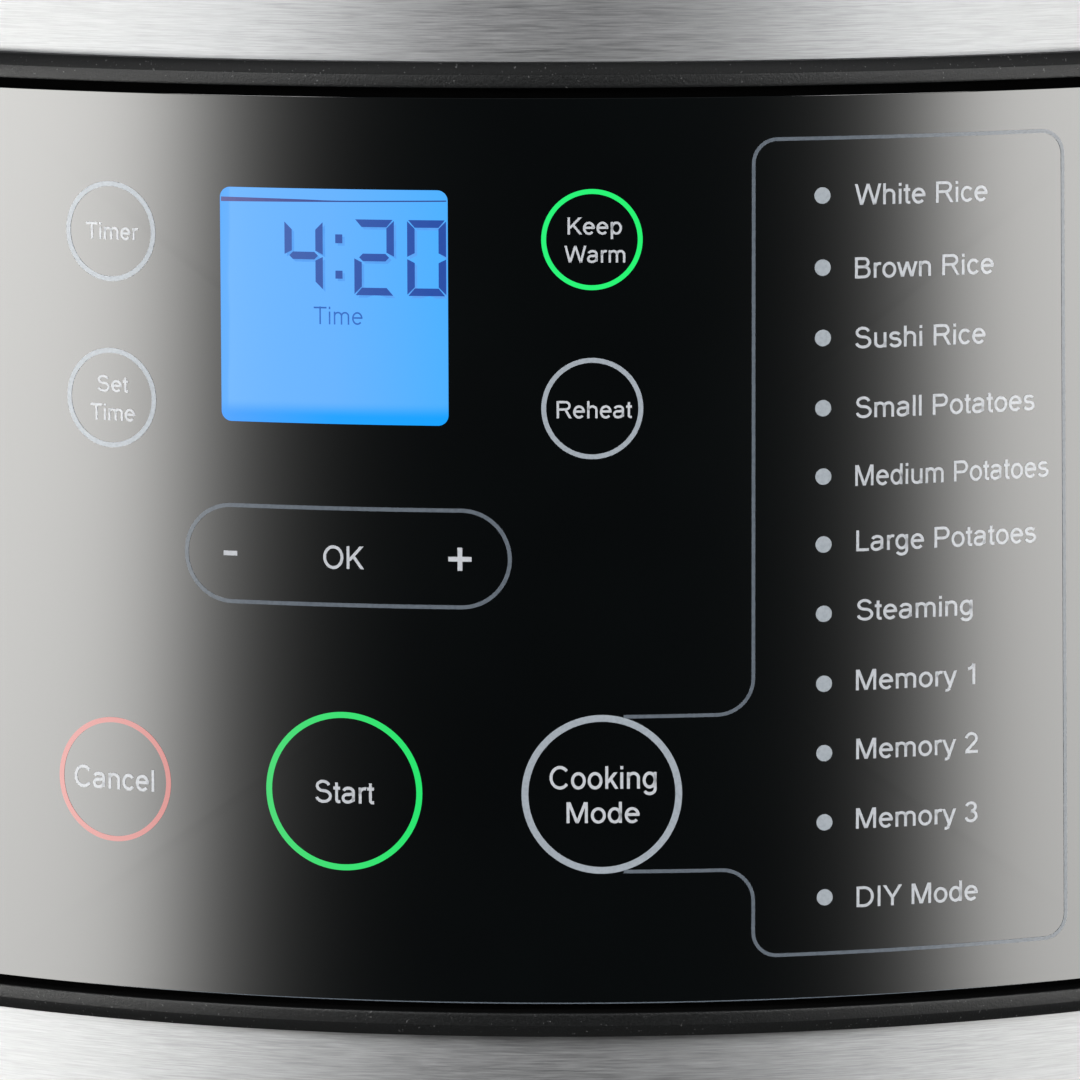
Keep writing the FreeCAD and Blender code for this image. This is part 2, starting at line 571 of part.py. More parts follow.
def makeInlet():
    flange = padded("InletBody", [roundedOutline(
        "-inletHalfWidth - 4", "inletHalfWidth + 4", "inletZ - inletHalfHeight - 4",
        "inletZ + inletHalfHeight + 4", "4")], "XZ_Plane", "3", "-(shellRadius + 2)")
    neck = block("InletNeck", ("-inletHalfWidth", "inletHalfWidth"),
                 ("shellRadius - inletDepth + 2", "shellRadius + 1"),
                 ("inletZ - inletHalfHeight", "inletZ + inletHalfHeight"))
    cavity = block("InletCavity", ("-inletHalfWidth + 2", "inletHalfWidth - 2"),
                   ("shellRadius - inletDepth + 5", "shellRadius + 4"),
                   ("inletZ - inletHalfHeight + 2", "inletZ + inletHalfHeight - 2"))
    wrap = rod("InletWrap", "shellRadius + 0.1", "60", ("0", "0", "inletZ - 30"))
    fitted = joined("InletSolid", [cutFrom("InletFlange", flange, [wrap]), neck])
    keep(cutFrom("PowerInlet", fitted, [cavity]), "power_inlet")
    pins = [block("Pin%d" % number, (x - 1, x + 1), ("shellRadius - inletDepth + 5.1", "shellRadius - 4"),
                  ("inletZ - 2 + %s" % up, "inletZ + 2 + %s" % up))
            for number, (x, up) in enumerate([(-7, -1), (0, 3), (7, -1)])]
    keep(grouped("InletPins", pins), "inlet_pins")


# ---- side handles ----

def makeHandles():
    screws = []
    seat, level = size("handleScrewSeat"), "handleBottom + handleHeight / 2"
    for side, name in ((-1, "left"), (1, "right")):
        ends = sorted((side * size("handleRoot"), side * size("handleReach")))
        grip = padded("Handle" + name, [roundedOutline(ends[0], ends[1], "-handleHalfWidth",
                                                       "handleHalfWidth", "handleCorner")],
                      "XY_Plane", "handleHeight", "handleBottom")
        gapEnds = sorted((side * size("gapNear"), side * size("gapFar")))
        gap = padded("FingerGap" + name, [roundedOutline(gapEnds[0], gapEnds[1], "-gapHalfLength",
                                                         "gapHalfLength", "4.9")],
                     "XY_Plane", "handleHeight + 10", "handleBottom - 5")
        tools = [gap, rod("HandleSeat" + name, "shellRadius + 0.1", "40", ("0", "0", "handleBottom - 10"))]
        for along in (-size("handleScrewSpread"), size("handleScrewSpread")):
            mark = "%s%d" % (name, along > 0)
            tools.append(rod("HandleHole" + mark, "screwRadius", "11.5", (side * (seat - 1), along, level),
                             (side, 0, 0)))
            head = rod("HandleHead" + mark, "screwHeadRadius - 0.6", "1.5", (side * seat, along, level),
                       (side, 0, 0))
            shank = rod("HandleShank" + mark, "screwRadius - 0.05", "8.5", (side * (seat + 1.4), along, level),
                        (side, 0, 0))
            screws.append(joined("HandleScrew" + mark, [head, shank]))
        keep(cutFrom("SideHandle" + name, grip, tools), "side_handle_" + name)
    keep(grouped("HandleScrews", screws), "handle_screws")


# ---- condensate cup behind the hinge ----

def makeCondenser():
    front, back = "shellRadius + 0.8", "shellRadius + 0.8 + condenserDepth"
    outer = block("CondenserOuter", ("-condenserHalfWidth", "condenserHalfWidth"), (front, back),
                  ("condenserBottom", "condenserTop"))
    flange = block("CondenserFlange", ("-condenserFlange", "condenserFlange"), (front, back),
                   ("condenserTop - 3", "condenserTop - 1"))
    inner = block("CondenserInner", ("-condenserHalfWidth + 1.8", "condenserHalfWidth - 1.8"),
                  (front + " + 1.8", back + " - 1.8"), ("condenserBottom + 2", "condenserTop + 1"))
    keep(cutFrom("CondensateCup", joined("CondenserSolid", [outer, flange]), [inner]), "condensate_cup")


# ---- lid ----

def makeLid():
    wall = "lidRadius - lidWall"
    ring = turned("LidRing", [
        (wall, "lidBottom"), ("lidRadius", "lidBottom"), ("lidRadius", "lidShoulder", 14),
        ("plateSeatRadius + 2", "lidRim"), ("plateSeatRadius", "lidRim"), ("plateSeatRadius", "lidLedge"),
        ("plateSeatRadius - 9", "lidLedge"), ("plateSeatRadius - 9", "lidLedge - 2.4"),
        ("plateSeatRadius + 1", "lidLedge - 2.4", -10), (wall, "lidShoulder")])
    solids = [ring]
    for side, name in ((-1, "Left"), (1, "Right")):
        ends = sorted((side * size("lugInner"), side * size("lugOuter")))
        solids.append(block("Lug" + name, ends, ("lidRadius - 3.8", "hingeY"),
                            ("hingeZ - hingeBarrel + 0.2", "hingeZ + hingeBarrel - 0.2")))
        solids.append(rod("LugBarrel" + name, "hingeBarrel - 0.2", "lugOuter - lugInner",
                          (ends[0], "hingeY", "hingeZ"), (1, 0, 0)))
    hole = rod("LugHole", "pinRadius + pinFit", "80", ("-40", "hingeY", "hingeZ"), (1, 0, 0))
    keep(cutFrom("LidShell", joined("LidSolid", solids), [hole]), "lid_shell")

    edge = "topPlateTop - topPlateDrop"
    disc = turned("TopPlateDisc", [
        (0, "topPlateTop - topPlateWall"), ("topPlateFlat", "topPlateTop - topPlateWall", "-topPlateRound"),
        ("topPlateRadius", edge + " - topPlateWall"), ("topPlateRadius", edge, "topPlateRound"),
        ("topPlateFlat", "topPlateTop"), (0, "topPlateTop")])
    ventHole = rod("VentHole", "ventRadius + 0.3", "20", ("0", "ventY", "topPlateTop - 10"))
    buttonHole = block("ButtonHole", ("-buttonHalfWidth - 2.5", "buttonHalfWidth + 2.5"),
                       ("buttonY - buttonHalfDepth - 2.5", "buttonY + buttonHalfDepth + 2.5"),
                       ("topPlateTop - 10", "topPlateTop + 5"))
    keep(cutFrom("LidTopPlate", disc, [ventHole, buttonHole]), "lid_top_plate")

    liner = turned("LinerDisc", [
        (0, "linerBottom"), (wall + " - 0.3", "linerBottom"), (wall + " - 0.3", "linerBottom + 5"),
        (wall + " - 1.8", "linerBottom + 5"), (wall + " - 1.8", "linerBottom + linerWall"),
        (0, "linerBottom + linerWall")])
    tools = [rod("LinerVent", "7.3", "20", ("0", "ventY", "linerBottom - 5")),
             rod("LinerKnob", "knobStem + 0.3", "20", ("0", "0", "linerBottom - 5")),
             block("LinerSlot", ("-latchHalfWidth - 1", "latchHalfWidth + 1"),
                   ("latchY - 8", "latchY + 5"), ("linerBottom - 1", "linerBottom + 10"))]
    keep(cutFrom("LidLiner", liner, tools), "lid_liner")

    inner = turned("InnerLidDisc", [
        (0, "innerLidBottom"), ("innerLidRadius", "innerLidBottom"),
        ("innerLidRadius", "innerLidBottom + innerLidWall"), (0, "innerLidBottom + innerLidWall")])
    holes = [rod("InnerKnobHole", "knobStem + 0.3", "10", ("0", "0", "innerLidBottom - 5"))]
    for number in range(6):
        turn = "(%d)" % (60 * number)
        holes.append(rod("SteamHole%d" % number, "steamHoleRadius", "10",
                         ("steamHoleCircle * cos" + turn, "ventY + steamHoleCircle * sin" + turn,
                          "innerLidBottom - 5")))
    keep(cutFrom("InnerLid", inner, holes), "inner_lid")
    keep(turned("LidGasket", [
        ("gasketInner", "gasketBottom + 1.5"), ("gasketInner + 2", "gasketBottom"),
        ("gasketOuter", "gasketBottom"), ("gasketOuter", "linerBottom - 0.3"),
        ("gasketInner", "linerBottom - 0.3")]), "lid_gasket")
    keep(turned("InnerLidKnob", [
        (0, "innerLidBottom - 9"), ("knobRadius - 2", "innerLidBottom - 9", 3),
        ("knobRadius", "innerLidBottom - 7"), ("knobRadius", "innerLidBottom - 0.2"),
        ("knobStem", "innerLidBottom - 0.2"), ("knobStem", "linerBottom + 4"),
        (0, "linerBottom + 4")]), "inner_lid_knob")
    screws = [rod("LidScrew%d" % number, "screwRadius", "10", onCircle("lidScrewCircle", angle,
                                                                      "linerBottom + 1.6"))
              for number, angle in enumerate((20, 160, 200, 340))]
    keep(grouped("LidScrews", screws), "lid_screws")
    keep(padded("HingeCover", [roundedOutline("-lugInner", "lugInner", "hingeZ + 6.6", "hingeZ + 8.6", "0.9")],
                "XZ_Plane", "9.6", "-(hingeY + 5)"), "hinge_cover")


# ---- steam vent ----

def makeVent():
    top = "topPlateTop"
    seat = turned("VentSeat", [
        ("5", "linerBottom - 1"), ("7", "linerBottom - 1"), ("7", "ventFloor"),
        ("ventRadius", "ventFloor"), ("ventRadius", top + " + 0.1"), ("ventCapRadius + 1.5", top + " + 0.1"),
        ("ventCapRadius + 1.5", top + " + 1.3"), ("ventRadius - ventWall", top + " + 1.3"),
        ("ventRadius - ventWall", "ventFloor + 2"), ("5", "ventFloor + 2")])
    bind(seat, **{"Placement.Base.y": "ventY"})
    keep(seat, "steam_vent_seat")
    inside = "ventRadius - ventWall - 0.6"
    cap = turned("VentCapTop", [
        (inside + " - 1.6", "ventFloor + 6"), (inside, "ventFloor + 6"), (inside, top + " + 1.7"),
        ("ventCapRadius", top + " + 1.7"), ("ventCapRadius", top + " + 3.5", 3),
        ("ventCapRadius - 3", top + " + 6.4", 220), (0, top + " + 7.8"), (0, top + " + 5.5"),
        (inside + " - 1.6", top + " + 5")])
    slots = []
    for number in range(3):
        low = "ventSlotFirst + %d * ventSlotSpacing" % number
        slots.append(roundedOutline("-ventSlotHalfLength", "ventSlotHalfLength", low,
                                    low + " + ventSlotWidth", "1.1"))
    pocket(cap, "XY_Plane", slots, True)
    bind(cap, **{"Placement.Base.y": "ventY"})
    keep(cap, "steam_vent_cap")
    valve = turned("VentValve", [
        ("3", "ventFloor + 6.2"), (inside + " - 1.8", "ventFloor + 6.2"), (inside + " - 1.8", "ventFloor + 8"),
        ("3", "ventFloor + 8")])
    bind(valve, **{"Placement.Base.y": "ventY"})
    keep(valve, "steam_vent_valve")


# ---- release button and latch ----

def makeLatch():
    low, high = "buttonY - buttonHalfDepth", "buttonY + buttonHalfDepth"
    cap = padded("ButtonCap", [roundedOutline("-buttonHalfWidth", "buttonHalfWidth", low, high, "5")],
                 "XY_Plane", "10", "buttonTop - 10")
    stem = rod("ButtonStem", "2.5", "buttonTop - 9 - latchZ - 2.8", ("0", "buttonY", "latchZ + 2.8"))
    keep(joined("ReleaseButton", [cap, stem]), "release_button")
    bezel = padded("ButtonBezel", [
        roundedOutline("-buttonHalfWidth - 2.3", "buttonHalfWidth + 2.3", low + " - 2.3", high + " + 2.3", "7"),
        roundedOutline("-buttonHalfWidth - 0.4", "buttonHalfWidth + 0.4", low + " - 0.4", high + " + 0.4",
                       "5.4")], "XY_Plane", "8", "topPlateTop - 7.2")
    keep(bezel, "button_bezel")
    shelf = block("ShelfTop", ("-shelfHalfWidth", "shelfHalfWidth"), (low, high),
                  ("shelfTop - shelfWall", "shelfTop"))
    legs = [block("ShelfLeg%d" % number, ends, (low, high), ("linerBottom + linerWall + 0.1", "shelfTop - 1"))
            for number, ends in enumerate([("-shelfHalfWidth", "-shelfHalfWidth + 3"),
                                           ("shelfHalfWidth - 3", "shelfHalfWidth")])]
    way = rod("ShelfWay", "2.8", "10", ("0", "buttonY", "shelfTop - 6"))
    keep(cutFrom("ButtonShelf", joined("ShelfSolid", [shelf] + legs), [way]), "button_shelf")
    keep(coil("ButtonSpring", "buttonSpringRadius", "buttonWireRadius", "buttonPitch", "buttonSpringLength",
              ("0", "buttonY", "shelfTop + 2 * buttonWireRadius")), "button_spring")
    pivot = ("latchY", "latchZ")
    arm = block("LatchArm", ("-latchHalfWidth", "latchHalfWidth"), ("latchY - 1.5", "latchY + 1.5"),
                ("latchTip", "latchZ"))
    tip = block("LatchTip", ("-latchHalfWidth", "latchHalfWidth"), ("latchY - 1.5", "latchY + 3.6"),
                ("latchTip", "latchTip + 2.6"))
    lever = block("LatchLever", ("-4", "4"), ("latchY", "buttonY + 3.5"), ("latchZ - 2", "latchZ + 2"))
    hub = rod("LatchHub", "3.6", "2 * latchHalfWidth", ("-latchHalfWidth",) + pivot, (1, 0, 0))
    bore = rod("LatchBore", "1.55", "30", ("-15",) + pivot, (1, 0, 0))
    keep(cutFrom("LatchHook", joined("LatchSolid", [arm, tip, lever, hub]), [bore]), "latch_hook")
    keep(rod("LatchPin", "1.5", "27", ("-13.5",) + pivot, (1, 0, 0)), "latch_pin")
    ears = []
    for number, side in enumerate((-1, 1)):
        ends = sorted((side * 10, side * 13))
        ears.append(block("LatchEar%d" % number, ends, ("latchY - 4", "latchY + 4"),
                          ("linerBottom + linerWall + 0.1", "latchZ + 4")))
    eye = rod("LatchEye", "1.5", "30", ("-15",) + pivot, (1, 0, 0))
    keep(cutFrom("LatchBracket", grouped("LatchEars", ears), [eye]), "latch_bracket")


makeBase()
makeShell()
makePanel()
makePanelInternals()
makeCollar()
makePot()
makeHeating()
makeElectronics()
makeInlet()
makeHandles()
makeCondenser()
makeLid()
makeVent()
makeLatch()
doc.recompute()

for item in doc.Objects:
    if "Invalid" in item.State or "Error" in item.State:
        raise RuntimeError("%s failed: %s" % (item.Name, item.State))
for item in nodes:
    if item.Shape.isNull() or not item.Shape.isValid():
        raise RuntimeError(item.Label + " has no valid shape")

os.makedirs("parts", exist_ok=True)
for item in nodes:
    item.Shape.exportStep("parts/%s.step" % item.Label)
    print("%-20s %10.0f mm3" % (item.Label, item.Shape.Volume))
print(len(nodes), "sub-parts")
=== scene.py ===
import bmesh
import bpy
import json
import math
import numpy as np
from mathutils import Matrix, Vector


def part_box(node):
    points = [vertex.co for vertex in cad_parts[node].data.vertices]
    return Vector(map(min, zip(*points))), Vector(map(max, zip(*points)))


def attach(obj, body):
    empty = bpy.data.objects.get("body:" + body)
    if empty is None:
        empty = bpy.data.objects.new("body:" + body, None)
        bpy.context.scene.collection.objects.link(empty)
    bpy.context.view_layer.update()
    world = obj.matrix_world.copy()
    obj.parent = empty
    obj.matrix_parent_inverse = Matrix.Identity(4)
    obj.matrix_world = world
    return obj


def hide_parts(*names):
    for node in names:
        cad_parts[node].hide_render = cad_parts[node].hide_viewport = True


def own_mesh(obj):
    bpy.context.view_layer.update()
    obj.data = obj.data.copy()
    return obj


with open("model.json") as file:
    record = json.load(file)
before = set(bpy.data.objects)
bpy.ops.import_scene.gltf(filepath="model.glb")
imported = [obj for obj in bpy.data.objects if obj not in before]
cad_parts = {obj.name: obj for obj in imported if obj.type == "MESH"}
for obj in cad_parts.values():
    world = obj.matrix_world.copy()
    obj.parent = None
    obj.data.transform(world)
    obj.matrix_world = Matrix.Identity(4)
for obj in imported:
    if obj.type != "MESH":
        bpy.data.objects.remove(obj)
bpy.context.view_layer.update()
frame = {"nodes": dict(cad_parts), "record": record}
mm = 0.001
print("frame loaded:", len(frame["nodes"]), "parts")

# sizes taken from the frame
lensLow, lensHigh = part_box("panel_lens")
wrapLow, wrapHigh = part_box("outer_shell")
panel = {
    "radius": -lensLow.y,                        # the lens is a piece of a cylinder about Z
    "centre": (lensLow.z + lensHigh.z) / 2,      # height of its middle
    "halfWidth": lensHigh.x,
    "halfHeight": (lensHigh.z - lensLow.z) / 2,
    "corner": 13 * mm,
    "thick": 2.2 * mm,
    "edgeRound": 0.05 * mm,
    "sag": -0.5 * mm,                            # the lens sits a little low in its bead
}


def hexColour(text):
    # sRGB hex to linear: c / 12.92 below 0.04045, else ((c + 0.055) / 1.055) ** 2.4
    parts = [int(text[i:i + 2], 16) / 255 for i in (1, 3, 5)]
    return [c / 12.92 if c <= 0.04045 else ((c + 0.055) / 1.055) ** 2.4 for c in parts] + [1.0]


def feed(node, **inputs):
    # each input takes a value, a socket, or a node, which gives its first output; in2 is the third input
    for key, value in inputs.items():
        socket = node.inputs[int(key[2:]) if key[2:].isdigit() else key.replace("_", " ")]
        if isinstance(value, bpy.types.Node):
            value = value.outputs[0]
        if isinstance(value, bpy.types.NodeSocket):
            node.id_data.links.new(value, socket)
        else:
            socket.default_value = value


def addNode(tree, kind, settings=None, stops=(), **inputs):
    # settings are the node's own properties, and stops are a colour ramp's (position, hex colour or grey)
    node = tree.nodes.new("ShaderNode" + kind)
    for key, value in (settings or {}).items():
        setattr(node, key, value)
    marks = node.color_ramp.elements if stops else ()
    while len(marks) < len(stops):
        marks.new(0.5)
    for element, (position, colour) in zip(marks, stops):
        element.position = position
        element.color = hexColour(colour) if isinstance(colour, str) else (colour, colour, colour, 1)
    feed(node, **inputs)
    return node


def startMaterial(name, **values):
    # a principled material: its shader's constants go straight on the sockets
    material = bpy.data.materials.new(name)
    material.use_nodes = True
    tree = material.node_tree
    shader = tree.nodes["Principled BSDF"]
    feed(shader, **values)
    return material, tree, shader


def pattern(tree, size):
    # object coordinates counted in pattern sizes, given in mm: one for every axis, or one for each
    where = addNode(tree, "TexCoord")
    sizes = np.broadcast_to(size, 3)
    return addNode(tree, "Mapping", Vector=where.outputs["Object"], Scale=[1 / (one * mm) for one in sizes])


def mouldedPlastic(name, light, dark, roughness, grainMm=0.35, depthMm=0.02, coat=0.0):
    # injection-moulded ABS or PP: eroded-tool grain gives a broken sheen, and flow makes the colour drift
    material, tree, shader = startMaterial(name, IOR=1.5, Coat_Weight=coat, Coat_Roughness=0.06)
    flow = addNode(tree, "TexNoise", Vector=pattern(tree, 60), Scale=1, Detail=3)
    feed(shader, Base_Color=addNode(tree, "ValToRGB", Fac=flow, stops=[(0.3, dark), (0.7, light)]))
    grain = addNode(tree, "TexNoise", Vector=pattern(tree, grainMm), Scale=1, Detail=2)
    spread = addNode(tree, "MapRange", Value=grain, To_Min=roughness - 0.06, To_Max=roughness + 0.06)
    bump = addNode(tree, "Bump", Height=grain, Strength=0.5, Distance=depthMm * mm)
    feed(shader, Roughness=spread, Normal=bump)
    return material


def brushedSteel(name, light, dark, sizes, roughness=0.5, anisotropic=0.35, depthMm=0.004):
    # stainless sheet linished with a belt: long fine lines, so highlights smear square to them
    material, tree, shader = startMaterial(name, Metallic=1.0, Anisotropic=anisotropic,
                                           Anisotropic_Rotation=0.25)
    fine = addNode(tree, "TexNoise", Vector=pattern(tree, sizes), Scale=1, Detail=4, Roughness=0.65)
    broad = addNode(tree, "TexNoise", Vector=pattern(tree, [size / 0.17 for size in sizes]), Scale=1,
                    Detail=2)
    mixed = addNode(tree, "Mix", {"data_type": "FLOAT"}, in0=0.15, in2=fine, in3=broad)
    feed(shader, Base_Color=addNode(tree, "ValToRGB", Fac=mixed, stops=[(0.36, dark), (0.64, light)]))
    spread = addNode(tree, "MapRange", Value=mixed, From_Min=0.3, From_Max=0.7,
                     To_Min=roughness - 0.07, To_Max=roughness + 0.07)
    bump = addNode(tree, "Bump", Height=fine, Strength=0.35, Distance=depthMm * mm)
    turn = addNode(tree, "Tangent", {"direction_type": "RADIAL", "axis": "Z"})
    feed(shader, Roughness=spread, Normal=bump, Tangent=turn)
    return material


# brush lines run round the body: 5 mm long and about 0.13 mm apart
wrapSteel = brushedSteel("brushedStainlessWrap", "#B8B9BA", "#9A9B9C", (5, 5, 0.13))


def polishedAcrylic():
    # black hard-coated acrylic: a deep black body under a mirror skin, with faint moulding waviness
    material, tree, shader = startMaterial("blackHardCoatAcrylic", IOR=1.5, Roughness=0.03, Coat_Weight=0.6,
                                           Coat_Roughness=0.02, Coat_IOR=1.5)
    cloud = addNode(tree, "TexNoise", Vector=pattern(tree, 30), Scale=1, Detail=2)
    feed(shader, Base_Color=addNode(tree, "ValToRGB", Fac=cloud, stops=[(0.3, "#050708"), (0.7, "#070A0B")]))
    wave = addNode(tree, "TexNoise", Vector=pattern(tree, (6, 6, 60)), Scale=1, Detail=1)
    bump = addNode(tree, "Bump", Height=wave, Strength=0.12, Distance=0.02 * mm)
    feed(shader, Normal=bump)
    return material


def softTrimRubber(name, level, gloss):
    # moulded soft-touch elastomer: fine spark-eroded grain, a broad sheen and pinpoint specks of dust
    material, tree, shader = startMaterial(name, IOR=1.5, Specular_IOR_Level=level)
    grain = addNode(tree, "TexNoise", Vector=pattern(tree, 0.3), Scale=1, Detail=3)
    speck = addNode(tree, "TexNoise", Vector=pattern(tree, 0.4), Scale=1, Detail=1)
    body = addNode(tree, "ValToRGB", Fac=grain, stops=[(0.35, "#060707"), (0.7, "#0E1011")])
    spots = addNode(tree, "ValToRGB", Fac=speck, stops=[(0.7, 0.0), (0.82, 0.1)])
    mixed = addNode(tree, "Mix", {"data_type": "RGBA", "blend_type": "ADD"}, in0=1.0, in6=body, in7=spots)
    feed(shader, Base_Color=mixed.outputs[2])
    spread = addNode(tree, "MapRange", Value=grain, To_Min=gloss, To_Max=gloss + 0.2)
    bump = addNode(tree, "Bump", Height=grain, Strength=0.8, Distance=0.05 * mm)
    feed(shader, Roughness=spread, Normal=bump)
    return material


def paintedGapShade():
    # painted shade: a near-black strip lining the gap round the lens, standing in for the shadow in that gap;
    # open pores over a dead black
    material, tree, shader = startMaterial("gapPaintedShade", IOR=1.4, Specular_IOR_Level=0.1, Roughness=0.9)
    pores = addNode(tree, "TexVoronoi", Vector=pattern(tree, 0.3), Scale=1)
    feed(shader, Base_Color=addNode(tree, "ValToRGB", Fac=pores, stops=[(0.1, "#000000"), (0.7, "#040404")]))
    return material


def screenInk(name, colour, shade):
    # silk-screened ink, fired slightly matt: tiny pinholes and edge thinning break up its colour
    material, tree, shader = startMaterial(name, IOR=1.5, Specular_IOR_Level=0.46, Roughness=0.1)
    grain = addNode(tree, "TexNoise", Vector=pattern(tree, 0.4), Scale=1, Detail=2)
    tint = addNode(tree, "ValToRGB", Fac=grain, stops=[(0.3, shade), (0.6, colour)])
    feed(shader, Base_Color=tint)
    return material


def litInk(name, left, right, span, strength):
    # translucent ink over a light guide: the lamp is nearer one side, so the glow fades across the ring
    material, tree, shader = startMaterial(name, Base_Color=(0.02, 0.02, 0.02, 1), IOR=1.5, Roughness=0.15,
                                           Specular_IOR_Level=0.25, Emission_Strength=strength)
    where = addNode(tree, "TexCoord")
    split = addNode(tree, "SeparateXYZ", Vector=where.outputs["Object"])
    across = addNode(tree, "MapRange", Value=split.outputs["X"], From_Min=span[0], From_Max=span[1])
    grain = addNode(tree, "TexNoise", Vector=pattern(tree, 0.9), Scale=1, Detail=1)
    mixed = addNode(tree, "Mix", {"data_type": "FLOAT"}, in0=0.12, in2=across, in3=grain)
    feed(shader, Emission_Color=addNode(tree, "ValToRGB", Fac=mixed, stops=[(0.0, left), (1.0, right)]))
    return material


def litFlat(name, light, dark):
    # dyed liquid-crystal film in front of the back light: a flat glow with slight mottle; it also paints the
    # figures' shadows, as a slightly darker glow
    material, tree, shader = startMaterial(name, Base_Color=(0.005, 0.01, 0.03, 1), IOR=1.5, Roughness=0.15,
                                           Specular_IOR_Level=0.2, Emission_Strength=1.0)
    mottle = addNode(tree, "TexNoise", Vector=pattern(tree, 1.2), Scale=1, Detail=2)
    feed(shader, Emission_Color=addNode(tree, "ValToRGB", Fac=mottle, stops=[(0.3, dark), (0.7, light)]))
    return material


def plainMetal(name, light, dark, roughness, grainMm):
    # cast, plated or drawn metal: handling marks and oxide cloud both its colour and its gloss
    material, tree, shader = startMaterial(name, Metallic=1.0)
    cloud = addNode(tree, "TexNoise", Vector=pattern(tree, grainMm * 6), Scale=1, Detail=4)
    feed(shader, Base_Color=addNode(tree, "ValToRGB", Fac=cloud, stops=[(0.3, dark), (0.7, light)]))
    grain = addNode(tree, "TexNoise", Vector=pattern(tree, grainMm), Scale=1, Detail=2)
    spread = addNode(tree, "MapRange", Value=grain, To_Min=roughness * 0.75, To_Max=roughness * 1.25)
    bump = addNode(tree, "Bump", Height=grain, Strength=0.3, Distance=0.01 * mm)
    feed(shader, Roughness=spread, Normal=bump)
    return material


def spunMetal(name, light, dark, roughness):
    # turned on a lathe: rings about Z from noise on the radius, sqrt(x^2 + y^2), each 0.3 mm wide
    material, tree, shader = startMaterial(name, Metallic=1.0, Anisotropic=0.7)
    where = addNode(tree, "TexCoord")
    split = addNode(tree, "SeparateXYZ", Vector=where.outputs["Object"])
    flat = addNode(tree, "CombineXYZ", X=split.outputs["X"], Y=split.outputs["Y"])
    radius = addNode(tree, "VectorMath", {"operation": "LENGTH"}, in0=flat)
    lines = addNode(tree, "Math", {"operation": "MULTIPLY"}, in0=radius.outputs["Value"], in1=1 / 0.0003)
    along = addNode(tree, "CombineXYZ", X=lines)
    drift = addNode(tree, "VectorMath", {"operation": "MULTIPLY_ADD"}, in0=where.outputs["Object"],
                    in1=(40, 40, 0), in2=along)
    rings = addNode(tree, "TexNoise", Vector=drift, Scale=1, Detail=3)
    feed(shader, Base_Color=addNode(tree, "ValToRGB", Fac=rings, stops=[(0.34, dark), (0.66, light)]))
    spread = addNode(tree, "MapRange", Value=rings, To_Min=roughness - 0.06, To_Max=roughness + 0.06)
    turn = addNode(tree, "Tangent", {"direction_type": "RADIAL", "axis": "Z"})
    feed(shader, Roughness=spread, Tangent=turn)
    return material


def spangledZinc():
    # hot-dip galvanising: 6 mm crystals, each with its own grey
    material, tree, shader = startMaterial("galvanisedSteel", Metallic=1.0)
    crystals = addNode(tree, "TexVoronoi", Vector=pattern(tree, 6), Scale=1)
    split = addNode(tree, "SeparateColor", Color=crystals.outputs["Color"])
    grey = addNode(tree, "ValToRGB", Fac=split.outputs["Red"], stops=[(0.0, "#A2A5A8"), (1.0, "#BEC1C3")])
    feed(shader, Base_Color=grey)
    spread = addNode(tree, "MapRange", Value=split.outputs["Green"], To_Min=0.35, To_Max=0.5)
    feed(shader, Roughness=spread)
    return material


def circuitBoard():
    # solder mask over copper: tracks 0.8 mm apart show as a paler, raised green
    material, tree, shader = startMaterial("greenSolderMask", IOR=1.5, Roughness=0.35)
    tracks = addNode(tree, "TexBrick", Vector=pattern(tree, 3.2), Scale=1,
                     Color1=hexColour("#1E6A3C"), Color2=hexColour("#1A5F35"), Mortar=hexColour("#2C8450"),
                     Mortar_Size=0.03)
    feed(shader, Base_Color=tracks.outputs["Color"])
    bump = addNode(tree, "Bump", Height=tracks.outputs["Fac"], Strength=0.3, Distance=0.04 * mm)
    feed(shader, Normal=bump)
    return material


def ribbonCable():
    # flat cable: one conductor every 1.27 mm, so the grey sheath is ribbed across X; its grey is painted
    # darker in the grooves and lighter on the crests, as painted shade
    material, tree, shader = startMaterial("greyRibbonSheath", IOR=1.5, Roughness=0.5)
    ribs = addNode(tree, "TexWave", {"bands_direction": "X"}, Vector=pattern(tree, 1.27 * 3.14), Scale=1)
    grey = addNode(tree, "ValToRGB", Fac=ribs.outputs["Fac"], stops=[(0.0, "#9FA09C"), (1.0, "#C6C7C2")])
    feed(shader, Base_Color=grey)
    bump = addNode(tree, "Bump", Height=ribs.outputs["Fac"], Strength=0.5, Distance=0.2 * mm)
    feed(shader, Normal=bump)
    return material


def nonStick():
    # sprayed non-stick coat: charcoal with 0.5 mm mineral flecks, satin and slightly orange-peeled
    material, tree, shader = startMaterial("nonStickCoat", IOR=1.45)
    flecks = addNode(tree, "TexVoronoi", Vector=pattern(tree, 1.6), Scale=1)
    body = addNode(tree, "ValToRGB", Fac=flecks, stops=[(0.13, "#77756F"), (0.2, "#2B2A29")])
    feed(shader, Base_Color=body)
    peel = addNode(tree, "TexNoise", Vector=pattern(tree, 1.2), Scale=1, Detail=2)
    spread = addNode(tree, "MapRange", Value=peel, To_Min=0.32, To_Max=0.48)
    bump = addNode(tree, "Bump", Height=peel, Strength=0.3, Distance=0.03 * mm)
    feed(shader, Roughness=spread, Normal=bump)
    return material


def frostedCup():
    # translucent polypropylene: milky, with a soft inner glow and flow lines 5 mm apart up its wall
    material, tree, shader = startMaterial("translucentPolypropylene", IOR=1.49, Transmission_Weight=0.55)
    flow = addNode(tree, "TexNoise", Vector=pattern(tree, (16.667, 16.667, 5)), Scale=1, Detail=3)
    feed(shader, Base_Color=addNode(tree, "ValToRGB", Fac=flow, stops=[(0.3, "#B9BDBF"), (0.7, "#CDD1D3")]))
    spread = addNode(tree, "MapRange", Value=flow, To_Min=0.32, To_Max=0.45)
    feed(shader, Roughness=spread)
    return material


meshing = {"weld": 0.0004 * mm, "crispAngle": math.radians(35)}


